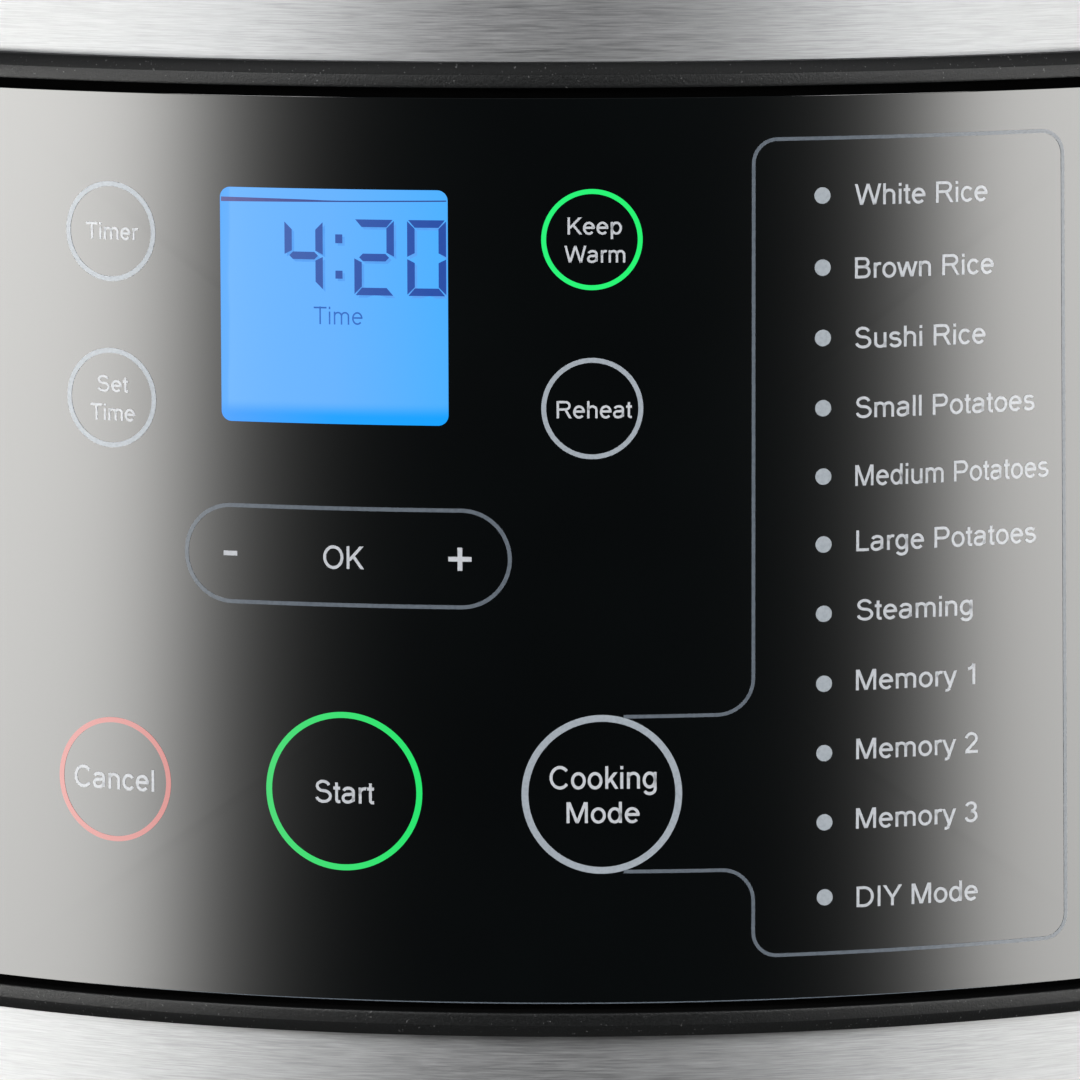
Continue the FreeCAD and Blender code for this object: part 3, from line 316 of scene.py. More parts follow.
def putMesh(name, points, faces, material, body, smooth=True, thick=0.0, second=None):
    # points is an (n, 3) array in metres and faces an (m, 4) array of point numbers; points that coincide
    # are welded, faces are turned outwards, a sheet can then be given a thickness inwards, and sharp edges
    # stay crisp; second is another material with the numbers of the faces that take it
    mesh = bpy.data.meshes.new(name)
    faces = np.asarray(faces, np.int32)
    mesh.vertices.add(len(points))
    mesh.vertices.foreach_set("co", np.asarray(points, np.float32).ravel())
    mesh.loops.add(faces.size)
    mesh.loops.foreach_set("vertex_index", faces.ravel())
    mesh.polygons.add(len(faces))
    mesh.polygons.foreach_set("loop_start", np.arange(0, faces.size, 4, dtype=np.int32))
    mesh.update(calc_edges=True)
    mesh.materials.append(material)
    if second:
        mesh.materials.append(second[0])
        taken = np.isin(np.arange(len(faces)), second[1])
        mesh.polygons.foreach_set("material_index", taken.astype(np.int32))
    work = bmesh.new()
    work.from_mesh(mesh)
    bmesh.ops.remove_doubles(work, verts=work.verts, dist=meshing["weld"])
    bmesh.ops.recalc_face_normals(work, faces=work.faces[:])
    if thick:
        bmesh.ops.solidify(work, geom=work.faces[:], thickness=thick)
    work.to_mesh(mesh)
    work.free()
    mesh.validate()
    mesh.polygons.foreach_set("use_smooth", np.full(len(mesh.polygons), smooth))
    if smooth:
        mesh.set_sharp_from_angle(angle=meshing["crispAngle"])
    thing = bpy.data.objects.new(name, mesh)
    bpy.context.scene.collection.objects.link(thing)
    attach(thing, body)
    return thing


def gridFaces(rows, columns, closeRows=False, closeColumns=False, first=0):
    # quads of a rows x columns grid of points, joined end to start where it is closed
    r = np.arange(rows if closeRows else rows - 1)
    c = np.arange(columns if closeColumns else columns - 1)
    r, c = (a.ravel() for a in np.meshgrid(r, c, indexing="ij"))
    rNext, cNext = (r + 1) % rows, (c + 1) % columns
    return np.stack([r * columns + c, r * columns + cNext, rNext * columns + cNext, rNext * columns + c],
                    axis=1) + first


def joinGrids(grids, closed):
    # the points and quads of many grids as one list of each; closed says which are joined round their columns
    points, faces, first = [], [], 0
    for grid, ring in zip(grids, closed):
        points.append(grid.reshape(-1, 3))
        faces.append(gridFaces(*grid.shape[:2], closeColumns=ring, first=first))
        first += len(points[-1])
    return np.concatenate(points), np.concatenate(faces)


def roundedOutline(halfWidth, halfHeight, corner, perCorner=16, perSide=24):
    # anticlockwise rectangle with round corners: corner centre + corner * (cos a, sin a), then each side in
    # equal steps
    turn = np.linspace(0, np.pi / 2, perCorner)
    places = []
    for number, (sx, sz) in enumerate(((1, 1), (-1, 1), (-1, -1), (1, -1))):
        angle = turn + number * np.pi / 2
        arc = np.stack([sx * (halfWidth - corner) + corner * np.cos(angle),
                        sz * (halfHeight - corner) + corner * np.sin(angle)], axis=1)
        places.append(arc)
    sides = []
    for number in range(4):
        start, end = places[number][-1], places[(number + 1) % 4][0]
        step = np.linspace(0, 1, perSide + 2)[1:-1, None]
        sides += [places[number], start + (end - start) * step]
    return np.concatenate(sides)


def ontoCylinder(flat, radius, height=0.0):
    # (x, z) seen from the front goes to (x, -sqrt(radius^2 - x^2), z + height)
    x, z = flat[..., 0], flat[..., 1]
    return np.stack([x, -np.sqrt(np.maximum(radius ** 2 - x ** 2, 0)), z + height], axis=-1)


def ontoPanel(arc, up, lift):
    # arc length round the lens and height above its middle go to a place lifted off its face
    angle = arc / panel["radius"]
    reach = panel["radius"] + lift
    return np.stack([reach * np.sin(angle), -reach * np.cos(angle), panel["centre"] + up + 0 * arc], axis=-1)


def ribbon(line, width, closed=False):
    # a flat line widened by half its width to each side along its miter, then given the ink's thickness
    line = np.asarray(line, float)
    if closed:
        ahead, behind = np.roll(line, -1, 0) - line, line - np.roll(line, 1, 0)
    else:
        step = np.diff(line, axis=0)
        ahead, behind = np.vstack([step, step[-1:]]), np.vstack([step[:1], step])
    ahead /= np.linalg.norm(ahead, axis=1, keepdims=True)
    behind /= np.linalg.norm(behind, axis=1, keepdims=True)
    along = ahead + behind
    along /= np.linalg.norm(along, axis=1, keepdims=True)
    side = np.stack([-along[:, 1], along[:, 0]], axis=1)
    stretch = np.clip(np.sum(along * ahead, axis=1, keepdims=True), 0.5, 1)
    half = np.asarray(width).reshape(-1, 1) / 2
    return line - side * half / stretch, line + side * half / stretch


def inkBand(right, left, lifts, closed):
    # a band between two flat edges on the panel's face, as a closed shell with a top, sides and underside
    low, high = lifts
    rows = [ontoPanel(right[:, 0], right[:, 1], low), ontoPanel(right[:, 0], right[:, 1], high),
            ontoPanel(left[:, 0], left[:, 1], high), ontoPanel(left[:, 0], left[:, 1], low)]
    points = np.concatenate(rows)
    count = len(right)
    faces = gridFaces(4, count, closeRows=True, closeColumns=closed)
    if not closed:
        ends = np.array([[0, count, 2 * count, 3 * count],
                         [count - 1, 4 * count - 1, 3 * count - 1, 2 * count - 1]])
        faces = np.vstack([faces, ends])
    return points, faces


def inkPiece(name, bands, material, lifts=(0.0, 0.05)):
    # joins many bands into one printed piece; a band is (right edge, left edge, closed), in mm on the panel
    points, faces, first = [], [], 0
    for right, left, closed in bands:
        p, f = inkBand(right * mm, left * mm, (lifts[0] * mm, lifts[1] * mm), closed)
        points.append(p)
        faces.append(f[:, ::-1] + first)
        first += len(p)
    return putMesh(name, np.concatenate(points), np.concatenate(faces), material, "cooker",
                   smooth=False)


def lineBand(line, width, closed=False):
    # a line of one width as a band for inkPiece
    right, left = ribbon(line, width, closed)
    return right, left, closed


def bow(cx, cy, rx, ry, start, end, steps=14):
    # part of an ellipse: centre + (rx cos a, ry sin a), from start to end in degrees
    angle = np.radians(np.linspace(start, end, steps))
    return np.stack([cx + rx * np.cos(angle), cy + ry * np.sin(angle)], axis=1)


# lettering: plain monoline sans, 716 units to the cap height and 519 to the small letters', each stroke drawn
# down its middle; a glyph is its advance and its strokes
capUnits = 716


def leg(x0, y0, x1, y1):
    # a slanting stroke whose two ends are cut level
    return "leg", (x0, y0, x1, y1)


def trace(*parts):
    # one stroke through points and bows
    line = np.vstack([np.atleast_2d(np.asarray(part, float)) for part in parts])
    fresh = np.linalg.norm(np.diff(line, axis=0), axis=1) > 1e-6
    return line[np.concatenate([[True], fresh])]


def bowl(cx, rx):
    return bow(cx, 259.5, rx, 227, 0, 360, 26)


glyphs = {
    " ": (278, []),
    "T": (611, [trace((305, 0), (305, 716)), trace((21, 672), (590, 672))]),
    "K": (667, [trace((120, 0), (120, 716)), leg(140, 250, 590, 716), leg(300, 400, 610, 0)]),
    "W": (944, [leg(55, 716, 245, 0), leg(245, 0, 472, 716), leg(472, 716, 700, 0), leg(700, 0, 890, 716)]),
    "R": (722, [trace((120, 0), (120, 716)), leg(430, 366, 645, 0),
                trace((120, 672), (430, 672), bow(440, 519, 165, 153, 90, -90), (120, 366))]),
    "P": (667, [trace((120, 0), (120, 716)),
                trace((120, 672), (400, 672), bow(410, 500, 170, 172, 90, -90), (120, 328))]),
    "B": (667, [trace((117, 0), (117, 716)),
                trace((117, 672), (370, 672), bow(380, 530, 150, 142, 90, -90), (117, 388)),
                trace((370, 388), bow(395, 216, 175, 172, 90, -90), (117, 44))]),
    "D": (722, [trace((121, 0), (121, 716)),
                trace((121, 672), (320, 672), bow(330, 358, 295, 314, 90, -90, 22), (121, 44))]),
    "S": (667, [trace(bow(330, 533, 205, 151, 12, 258, 18), bow(342, 207, 240, 175, 92, -168, 20))]),
    "C": (722, [bow(385, 358, 296, 326, 40, 322, 26)]),
    "O": (778, [bow(389, 358, 301, 326, 0, 360, 34)]),
    "M": (833, [trace((118, 0), (118, 716)), leg(145, 716, 416, 0), leg(416, 0, 690, 716),
                trace((716, 0), (716, 716))]),
    "I": (278, [trace((139, 0), (139, 716))]),
    "Y": (667, [leg(50, 716, 333, 280), leg(333, 280, 617, 716), trace((333, 0), (333, 330))]),
    "L": (556, [trace((118, 716), (118, 44), (520, 44))]),
    "a": (556, [trace(bow(262, 372, 170, 115, 165, 0, 16), (432, 92), bow(482, 88, 50, 58, 180, 215, 3)),
                trace((432, 310), (300, 285), bow(215, 160, 140, 124, 85, 270, 14),
                      bow(225, 186, 207, 150, 275, 360, 8))]),
    "b": (556, [trace((111, 0), (111, 716)), bowl(294, 182)]),
    "c": (500, [bow(268, 259.5, 188, 227, 38, 322, 22)]),
    "d": (556, [bowl(262, 182), trace((445, 0), (445, 716))]),
    "e": (556, [trace((82, 280), (474, 280), bow(279, 259.5, 197, 227, 6, 318, 28))]),
    "g": (556, [bow(262, 266, 182, 220, 0, 360, 26),
                trace((444, 519), (444, -20), bow(262, -20, 182, 146, 0, -155, 14))]),
    "h": (556, [trace((110, 0), (110, 716)), trace(bow(278, 345, 166, 140, 180, 0), (444, 0))]),
    "i": (222, [trace((111, 0), (111, 519)), trace((111, 616), (111, 716))]),
    "k": (500, [trace((110, 0), (110, 716)), leg(120, 180, 405, 519), leg(235, 320, 440, 0)]),
    "l": (222, [trace((111, 0), (111, 716))]),
    "m": (833, [trace((110, 0), (110, 519)), trace(bow(263, 345, 153, 140, 180, 0), (416, 0)),
                trace(bow(569, 345, 153, 140, 180, 0), (722, 0))]),
    "n": (556, [trace((110, 0), (110, 519)), trace(bow(277, 345, 167, 140, 180, 0), (444, 0))]),
    "o": (556, [bow(278, 259.5, 198, 227, 0, 360, 28)]),
    "p": (556, [trace((111, -199), (111, 519)), bowl(294, 182)]),
    "r": (333, [trace((110, 0), (110, 519)), bow(262, 322, 152, 163, 180, 68, 9)]),
    "s": (500, [trace(bow(248, 384, 158, 103, 22, 262, 16), bow(252, 156, 175, 125, 92, -162, 16))]),
    "t": (278, [trace((130, 660), (130, 110), bow(202, 108, 72, 68, 180, 275, 7), (255, 42)),
                trace((18, 478), (252, 478))]),
    "u": (556, [trace((112, 519), bow(279, 174, 167, 142, 180, 360)), trace((446, 519), (446, 0))]),
    "w": (722, [leg(45, 519, 195, 0), leg(195, 0, 361, 519), leg(361, 519, 527, 0), leg(527, 0, 677, 519)]),
    "y": (500, [leg(50, 519, 250, 10), leg(450, 519, 225, -90),
                trace(bow(130, -60, 110, 98, -20, -110, 6))]),
    "1": (556, [trace((330, 0), (330, 716)), trace((320, 690), bow(110, 720, 200, 175, -12, -88, 6))]),
    "2": (556, [trace(bow(277, 496, 186, 178, 172, -28, 16), (100, 70)), trace((60, 44), (508, 44))]),
    "3": (556, [trace(bow(262, 532, 165, 142, 165, -85, 16)), trace(bow(262, 216, 190, 174, 92, -165, 18))]),
}


def lettering(text, left, right, base, capHeight, weight=97):
    # the bands of one line of text, stretched to run from left to right on its base line, in mm
    bands, pen = [], 0
    for letter in text:
        advance, strokes = glyphs[letter]
        for stroke in strokes:
            closed = False
            if isinstance(stroke, tuple):
                x0, y0, x1, y1 = stroke[1]
                half = weight / 2 * math.hypot(x1 - x0, y1 - y0) / abs(y1 - y0) * math.copysign(1, y1 - y0)
                middle = np.array([[x0, y0], [x1, y1]], float)
                sides = middle + (half, 0), middle - (half, 0)
            else:
                closed = bool(np.allclose(stroke[0], stroke[-1]))
                sides = ribbon(stroke[:-1] if closed else stroke, weight, closed)
            bands.append((sides[0] + (pen, 0), sides[1] + (pen, 0), closed))
        pen += advance
    everyX = np.concatenate([side[:, 0] for band in bands for side in band[:2]])
    scale = np.array([(right - left) / np.ptp(everyX), capHeight / capUnits])
    shift = np.array([left - everyX.min() * scale[0], base])
    return [(one * scale + shift, two * scale + shift, closed) for one, two, closed in bands]


print("drawing tools ready")

# brushed steel wrap round the body, with openings for the panel and the inlet; reach is half the angle that
# each holed wall takes
wrap = {
    "thick": 0.8 * mm, "cornerSteps": 14, "sideSteps": 40, "rings": 12, "wallSteps": 90,
    "front": {"half": (91 * mm, 58.9 * mm), "corner": 15 * mm, "reach": math.radians(50)},
    "back": {"half": (14.3 * mm, 10.8 * mm), "corner": 0.4 * mm, "reach": math.radians(16)},
}


def holedWall(hole, height, bearing):
    # rings from a hole's outline to the rectangle round it, as (angle, z):
    # ring = outline + share * (rectangle - outline), then (r sin angle, -r cos angle, z)
    radius, low, high = wrapHigh.x, wrapLow.z, wrapHigh.z
    steps = wrap["cornerSteps"], wrap["sideSteps"]
    inner = roundedOutline(*hole["half"], hole["corner"], *steps)
    inner = np.stack([np.arcsin(inner[:, 0] / radius), inner[:, 1] + height], axis=1)
    outer = roundedOutline(hole["reach"], (high - low) / 2, 0, *steps) + (0, (high + low) / 2)
    flat = inner + (outer - inner) * np.linspace(0, 1, wrap["rings"])[:, None, None]
    angle = flat[..., 0] + bearing
    return np.stack([radius * np.sin(angle), -radius * np.cos(angle), flat[..., 1]], axis=-1)


def makeWrap():
    # a wall with the panel's hole at the front, one with the inlet's at the back, and a plain curve on each
    # side between them, (r sin angle, -r cos angle, height)
    radius = wrapHigh.x
    inletLow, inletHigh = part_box("power_inlet")
    grids = [holedWall(wrap["front"], panel["centre"], 0),
             holedWall(wrap["back"], (inletLow.z + inletHigh.z) / 2, math.pi)]
    heights = np.linspace(wrapLow.z, wrapHigh.z, wrap["sideSteps"] + 2)
    for side in (-1, 1):
        ends = side * wrap["front"]["reach"], side * (math.pi - wrap["back"]["reach"])
        angle, up = np.meshgrid(np.linspace(*sorted(ends), wrap["wallSteps"]), heights, indexing="ij")
        grids.append(np.stack([radius * np.sin(angle), -radius * np.cos(angle), up], axis=-1))
    points, faces = joinGrids(grids, (True, True, False, False))
    return putMesh("bodyWrap", points, faces, wrapSteel, "cooker", thick=wrap["thick"])


bodyWrap = makeWrap()
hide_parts("outer_shell")
print("wrap made")

# black touch panel lens
lens = {"rings": 40}


def lensRows():
    # rings of the outline: back from its middle, up the side, round the edge and in over the face;
    # a ring is outline * share on radius r, and the two middles weld shut
    edge, deep, height = panel["edgeRound"], panel["thick"], panel["centre"] + panel["sag"]
    rows = []

    def ring(inset, drop, share=1.0):
        outline = roundedOutline(panel["halfWidth"] - inset, panel["halfHeight"] - inset,
                                 panel["corner"] - inset, 18, 40)
        rows.append(ontoCylinder(outline * share, panel["radius"] - drop, height))

    for share in np.linspace(0, 1, lens["rings"]):
        ring(0, deep, share)
    for turn in np.linspace(0, math.pi / 2, 6):
        ring(edge * (1 - math.cos(turn)), edge * (1 - math.sin(turn)))
    for share in np.concatenate([[0.999, 0.997], np.linspace(0.985, 0, lens["rings"])]):
        ring(edge, 0, share)
    return np.stack(rows)


lensGrid = lensRows()
blackAcrylic = polishedAcrylic()
panelLens = putMesh("touchPanelLens", *joinGrids([lensGrid], [True]), blackAcrylic, "cooker")
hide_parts("panel_lens")
print("lens made")

# soft bead round the panel
bead = {"half": (89.6, 57.75), "corner": 13.7, "sag": -0.35}
# (distance out from the inner edge, radius) in mm: flat crown, a gentle slope outwards, and back underneath
beadProfile = [(0.0, 137.4), (0.0, 138.8), (0.06, 138.91), (0.2, 138.95), (0.4, 138.95), (1.45, 138.95),
               (1.6, 138.93), (1.8, 138.91), (2.95, 138.5), (3.07, 138.35), (3.1, 138.2), (3.1, 136.55),
               (0.0, 136.55)]
# the strip in the gap between lens and bead is painted shade, a near-black sheet where the gap lies in shadow
gapShadeProfile = [(-1.3, 135.6), (-1.3, 136.2), (-0.15, 136.4), (-0.02, 138.6), (0.15, 138.6), (0.15, 135.6)]


def makeBead(name, profile, material, second=None):
    # the profile carried round the outline: each of its points is the outline grown by a distance, on a
    # radius; second is another material with the first and last profile steps that take it
    width, height = bead["half"]
    rings = [ontoCylinder(roundedOutline((width + out) * mm, (height + out) * mm, (bead["corner"] + out) * mm,
                                         18, 60), radius * mm, panel["centre"] + bead["sag"] * mm)
             for out, radius in profile]
    grid = np.stack(rings)
    if second:
        second = (second[0], np.arange(second[1] * grid.shape[1], second[2] * grid.shape[1]))
    faces = gridFaces(*grid.shape[:2], closeRows=True, closeColumns=True)
    return putMesh(name, grid.reshape(-1, 3), faces, material, "cooker", second=second)


panelBead = makeBead("panelBead", beadProfile, softTrimRubber("softTouchElastomer", 0.42, 0.34),
                     (softTrimRubber("mattElastomer", 0.2, 0.5), 6, 12))
panelGapShade = makeBead("panelGapShade", gapShadeProfile, paintedGapShade())
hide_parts("panel_trim")
print("bead made")

# printed rings, lines and lamps: (arc, height) from the panel's middle, in mm
greyInk = screenInk("greyScreenInk", "#A8B0B8", "#9CA4AC")
whiteInk = screenInk("whiteScreenInk", "#CBCED3", "#BEC1C6")
# the dim ink is real print on the frames, and also paints the highlight along the lens's lower edge
dimInkAndEdgeHighlight = screenInk("dimScreenInkAndEdgeHighlight", "#687079", "#5D656E")
keys = {
    "timer": {"at": (-59.0, 38.65), "radius": 6.25, "line": 0.6},
    "setTime": {"at": (-59.1, 17.75), "radius": 6.25, "line": 0.6},
    "reheat": {"at": (2.8, 17.7), "radius": 6.3, "line": 0.6},
    "cookingMode": {"at": (3.9, -30.6), "radius": 10.0, "line": 0.85},
}
litKeys = {
    "keepWarm": {"at": (2.8, 38.65), "radius": 6.25, "line": 0.6, "left": "#12FF7C", "right": "#08FF72"},
    "start": {"at": (-28.5, -30.6), "radius": 10.0, "line": 0.75, "left": "#46E178", "right": "#00F06E"},
    "cancel": {"at": (-59.2, -30.6), "radius": 7.9, "line": 0.65, "left": "#E8A09B", "right": "#D98A86"},
}
# (text, left end, right end, base line, cap height)
labels = [
    ("Timer", -62.4, -55.1, 37.65, 2.05), ("Set", -61.0, -56.7, 18.5, 2.0),
    ("Time", -62.0, -55.8, 14.9, 2.05), ("Keep", -0.2, 6.5, 39.3, 2.1), ("Warm", -0.6, 6.9, 35.8, 2.1),
    ("Reheat", -1.6, 7.7, 16.5, 2.15), ("OK", -30.9, -25.7, -2.6, 2.85),
    ("Cancel", -64.9, -53.6, -31.85, 2.75), ("Start", -32.1, -24.6, -32.1, 2.8),
    ("Cooking", -2.6, 10.7, -29.9, 2.85), ("Mode", -0.5, 8.6, -34.2, 2.65),
]
# (text, left end, right end, base line, height of its lamp)
modes = [
    ("White Rice", 35.7, 53.3, 42.4, 43.7), ("Brown Rice", 35.75, 54.2, 33.3, 34.75),
    ("Sushi Rice", 35.8, 53.1, 24.6, 26.0), ("Small Potatoes", 35.9, 60.0, 15.9, 17.25),
    ("Medium Potatoes", 35.85, 62.0, 7.4, 8.7), ("Large Potatoes", 36.0, 60.3, -0.8, 0.2),
    ("Steaming", 36.1, 51.5, -9.5, -8.5), ("Memory 1", 36.0, 51.9, -18.3, -17.3),
    ("Memory 2", 36.05, 52.3, -27.0, -26.05), ("Memory 3", 36.05, 52.3, -35.8, -34.8),
    ("DIY Mode", 36.15, 52.4, -45.75, -44.3),
]
modeCapHeight = 2.6
lamps = {"arc": 31.55, "drift": 0.045, "radius": 1.03}     # each lamp sits a little further out than the last


def ringBand(key):
    middle = key["radius"] - key["line"] / 2
    return lineBand(bow(*key["at"], middle, middle, 0, 360, 97)[:-1], key["line"], True)


inkPiece("keyRings", [ringBand(key) for key in keys.values()], greyInk)
for name, key in litKeys.items():
    x, reach = panel["radius"] * math.sin(key["at"][0] * mm / panel["radius"]), key["radius"] * mm
    ink = litInk(name + "Glow", key["left"], key["right"], (x - reach, x + reach), 0.9)
    inkPiece(name + "Ring", [ringBand(key)], ink)

pill = {"left": -49.1, "right": -7.2, "top": 5.2, "bottom": -7.4, "line": 0.5}


def pillLine():
    # two half circles joined by straight runs
    half = pill["line"] / 2
    radius = (pill["top"] - pill["bottom"]) / 2 - half
    middle = (pill["top"] + pill["bottom"]) / 2
    left, right = pill["left"] + half + radius, pill["right"] - half - radius
    return trace(bow(right, middle, radius, radius, -90, 90, 40),
                 bow(left, middle, radius, radius, 90, 270, 40))


modeBox = {"left": 22.85, "rightTop": 63.8, "rightBottom": 64.9, "top": 50.8, "bottom": -51.4, "corner": 3.0,
           "line": 0.45}


def modeBoxLine():
    # from the ring's upper right along the top connector, round the box and back along the lower connector
    b, c = modeBox, modeBox["corner"]
    return trace((6.6, -20.85), (18.3, -20.8), bow(18.3, -16.3, 4.55, 4.5, -90, 0, 12), (b["left"], 47.8),
                 bow(b["left"] + c, b["top"] - c, c, c, 180, 90, 10),
                 bow(b["rightTop"] - c, b["top"] - c, c, c, 90, 0, 10),
                 bow(b["rightBottom"] - c, b["bottom"] + c, c, c, 0, -90, 10),
                 bow(b["left"] + c, b["bottom"] + c, c, c, 270, 180, 10), (b["left"], -44.4),
                 bow(18.9, -44.4, 3.95, 4.0, 0, 90, 12), (6.6, -40.35))


def densify(line, step=2.0):
    # splits long runs so that a printed line follows the curved face
    line = np.asarray(line, float)
    gaps = np.linalg.norm(np.diff(line, axis=0), axis=1)
    counts = np.maximum(np.ceil(gaps / step).astype(int), 1)
    pieces = [a + (b - a) * np.linspace(0, 1, n, endpoint=False)[:, None]
              for a, b, n in zip(line[:-1], line[1:], counts) if np.linalg.norm(b - a) > 1e-6]
    return np.vstack(pieces + [line[-1:]])


loop = densify(np.vstack([pillLine(), pillLine()[:1]]))[:-1]
inkPiece("adjustFrame", [lineBand(loop, pill["line"], True)], dimInkAndEdgeHighlight)
inkPiece("modeFrame", [lineBand(densify(modeBoxLine()), modeBox["line"])], dimInkAndEdgeHighlight)
signs = [lineBand([(-43.9, -1.1), (-42.1, -1.1)], 0.6), lineBand([(-15.1, -1.13), (-12.2, -1.13)], 0.6),
         lineBand([(-13.65, -2.58), (-13.65, 0.32)], 0.6)]
inkPiece("keyLabels", signs + [band for label in labels for band in lettering(*label)], whiteInk)
modeBands = [band for mode in modes for band in lettering(*mode[:4], modeCapHeight)]
inkPiece("modeLabels", modeBands, whiteInk)


def discBands(centre, radius):
    # a disc as rings closing on its middle
    rim = bow(*centre, radius, radius, 0, 360, 33)[:-1]
    return rim, np.array(centre) + (rim - centre) * 0.001, True


discs = [discBands((lamps["arc"] + lamps["drift"] * number, mode[4]), lamps["radius"])
         for number, mode in enumerate(modes)]
inkPiece("modeLamps", discs, screenInk("lampInk", "#AEB5BB", "#A0A7AE"))
print("printing made")

# back-lit display window
display = {
    "left": -44.0, "right": -15.0, "top": 44.7, "bottom": 15.5, "corner": 1.3, "stroke": 0.94, "gap": 0.14,
    "line": 43.3,
    # seven-segment figures as (left, right, bottom, top, lit segments)
    "figures": [(-35.6, -30.7, 32.1, 40.7, "fgbc"), (-26.7, -21.7, 31.6, 41.0, "abged"),
                (-20.05, -15.2, 31.6, 41.0, "abcdef")],
    "figureEnds": (-35.6, -15.2),
    "colon": [(-29.1, -28.2, 38.0, 39.1), (-29.1, -28.2, 33.6, 34.6)],
    "word": ("Time", -31.9, -25.7, 27.9, 2.2), "wordWeight": 66,
    "shadow": (0.3, -0.3),                       # how far a figure's shadow falls to the right and down
    "edge": {"inset": 0.15, "drop": 0.4, "fade": 14, "thin": 0.16, "swell": 0.42, "span": (-44, -27)},
}


def facePatch(name, outline, material, lifts, rings=14):
    # a plate on the panel's face: rings of outline * share about its middle, under and over, welded at the
    # middle
    middle = (outline.min(0) + outline.max(0)) / 2
    rows = [ontoPanel(*((middle + (outline - middle) * share) * mm).T, lift * mm)
            for lift, shares in ((lifts[0], np.linspace(0, 1, rings)), (lifts[1], np.linspace(1, 0, rings)))
            for share in shares]
    return putMesh(name, *joinGrids([np.stack(rows)], [True]), material, "cooker")


def displayGlow():
    # blue back light through a diffuser: paler at the left, deeper along the bottom where the guide ends
    material, tree, shader = startMaterial("blueBackLight", Base_Color=(0.01, 0.02, 0.05, 1), IOR=1.5,
                                           Roughness=0.12, Specular_IOR_Level=0.2, Emission_Strength=1.0)
    where = addNode(tree, "TexCoord")
    split = addNode(tree, "SeparateXYZ", Vector=where.outputs["Object"])
    across = addNode(tree, "MapRange", Value=split.outputs["X"], From_Min=-43.3 * mm, From_Max=-14.9 * mm)
    low = panel["centre"] + display["bottom"] * mm
    up = addNode(tree, "MapRange", {"interpolation_type": "SMOOTHSTEP"}, Value=split.outputs["Z"],
                 From_Min=low + 0.8 * mm, From_Max=low + 2.9 * mm)
    haze = addNode(tree, "TexNoise", Vector=pattern(tree, 12), Scale=1, Detail=2)
    drift = addNode(tree, "Mix", {"data_type": "FLOAT"}, in0=0.04, in2=across, in3=haze)
    body = addNode(tree, "ValToRGB", Fac=drift,
                   stops=[(0.0, "#52A8FA"), (0.05, "#5EABFC"), (0.06, "#6CB3FE"), (0.5, "#66B1FF"),
                          (1.0, "#48AEFF")])
    foot = addNode(tree, "ValToRGB", Fac=drift, stops=[(0.0, "#479EFF"), (0.5, "#18A0FF"), (1.0, "#009FFF")])
    mixed = addNode(tree, "Mix", {"data_type": "RGBA"}, in0=up, in6=foot, in7=body)
    feed(shader, Emission_Color=mixed.outputs[2])
    return material


def segmentShapes(figure):
    # the bevelled bars of one figure, as (right edge, left edge) pairs of two points each
    x0, x1, z0, z1, lit = figure
    t, g, zm = display["stroke"], display["gap"], (z0 + z1) / 2
    h = t / 2
    bars = {
        "a": [((x0 + g, z1), (x1 - g, z1)), ((x0 + t, z1 - t), (x1 - t, z1 - t))],
        "d": [((x0 + t, z0 + t), (x1 - t, z0 + t)), ((x0 + g, z0), (x1 - g, z0))],
        "g": [((x0 + h + g, zm), (x0 + t + g, zm + h), (x1 - t - g, zm + h), (x1 - h - g, zm)),
              ((x0 + h + g, zm), (x0 + t + g, zm - h), (x1 - t - g, zm - h), (x1 - h - g, zm))],
        "f": [((x0 + t, z1 - t - g), (x0 + t, zm + h + g)), ((x0, z1 - g), (x0, zm + g))],
        "e": [((x0 + t, zm - h - g), (x0 + t, z0 + t + g)), ((x0, zm - g), (x0, z0 + g))],
        "b": [((x1, z1 - g), (x1, zm + g)), ((x1 - t, z1 - t - g), (x1 - t, zm + h + g))],
        "c": [((x1, zm - g), (x1, z0 + g)), ((x1 - t, zm - h - g), (x1 - t, z0 + t + g))],
    }
    return [(np.array(bars[key][0]), np.array(bars[key][1]), False) for key in lit]


def rectangle(left, right, low, high):
    return np.array([(left, high), (right, high)]), np.array([(left, low), (right, low)]), False


def shifted(bands, by):
    return [(right + by, left + by, closed) for right, left, closed in bands]


halfWide, halfTall = (display["right"] - display["left"]) / 2, (display["top"] - display["bottom"]) / 2
window = roundedOutline(halfWide, halfTall, display["corner"], 10, 12)
window = window + (display["left"] + halfWide, display["bottom"] + halfTall)
facePatch("displayWindow", window, displayGlow(), (0.0, 0.05))
figures = [band for figure in display["figures"] for band in segmentShapes(figure)]
figures += [rectangle(*dot) for dot in display["colon"]]
overFilm = {"lifts": (0.07, 0.09)}
# painted shadows: the figures again, shifted right and down, in a slightly darker glow on the back light
limit = (display["right"] - 0.1, 99)                         # shadows stop short of the window's right edge
shadows = [(np.minimum(one, limit), np.minimum(two, limit), closed)
           for one, two, closed in shifted(figures, display["shadow"])]
inkPiece("displayShadows", shadows, litFlat("displayShadow", "#5FA6F4", "#57A0F0"), lifts=(0.055, 0.065))
ends = [end * mm for end in display["figureEnds"]]
figureInk = litInk("displaySegment", "#3C60AC", "#0A44A2", ends, 1.0)
inkPiece("displayFigures", figures, figureInk, **overFilm)
inkPiece("displayWord", lettering(*display["word"], weight=display["wordWeight"]),
         litFlat("displayWordInk", "#3F74C8", "#3565B4"), **overFilm)
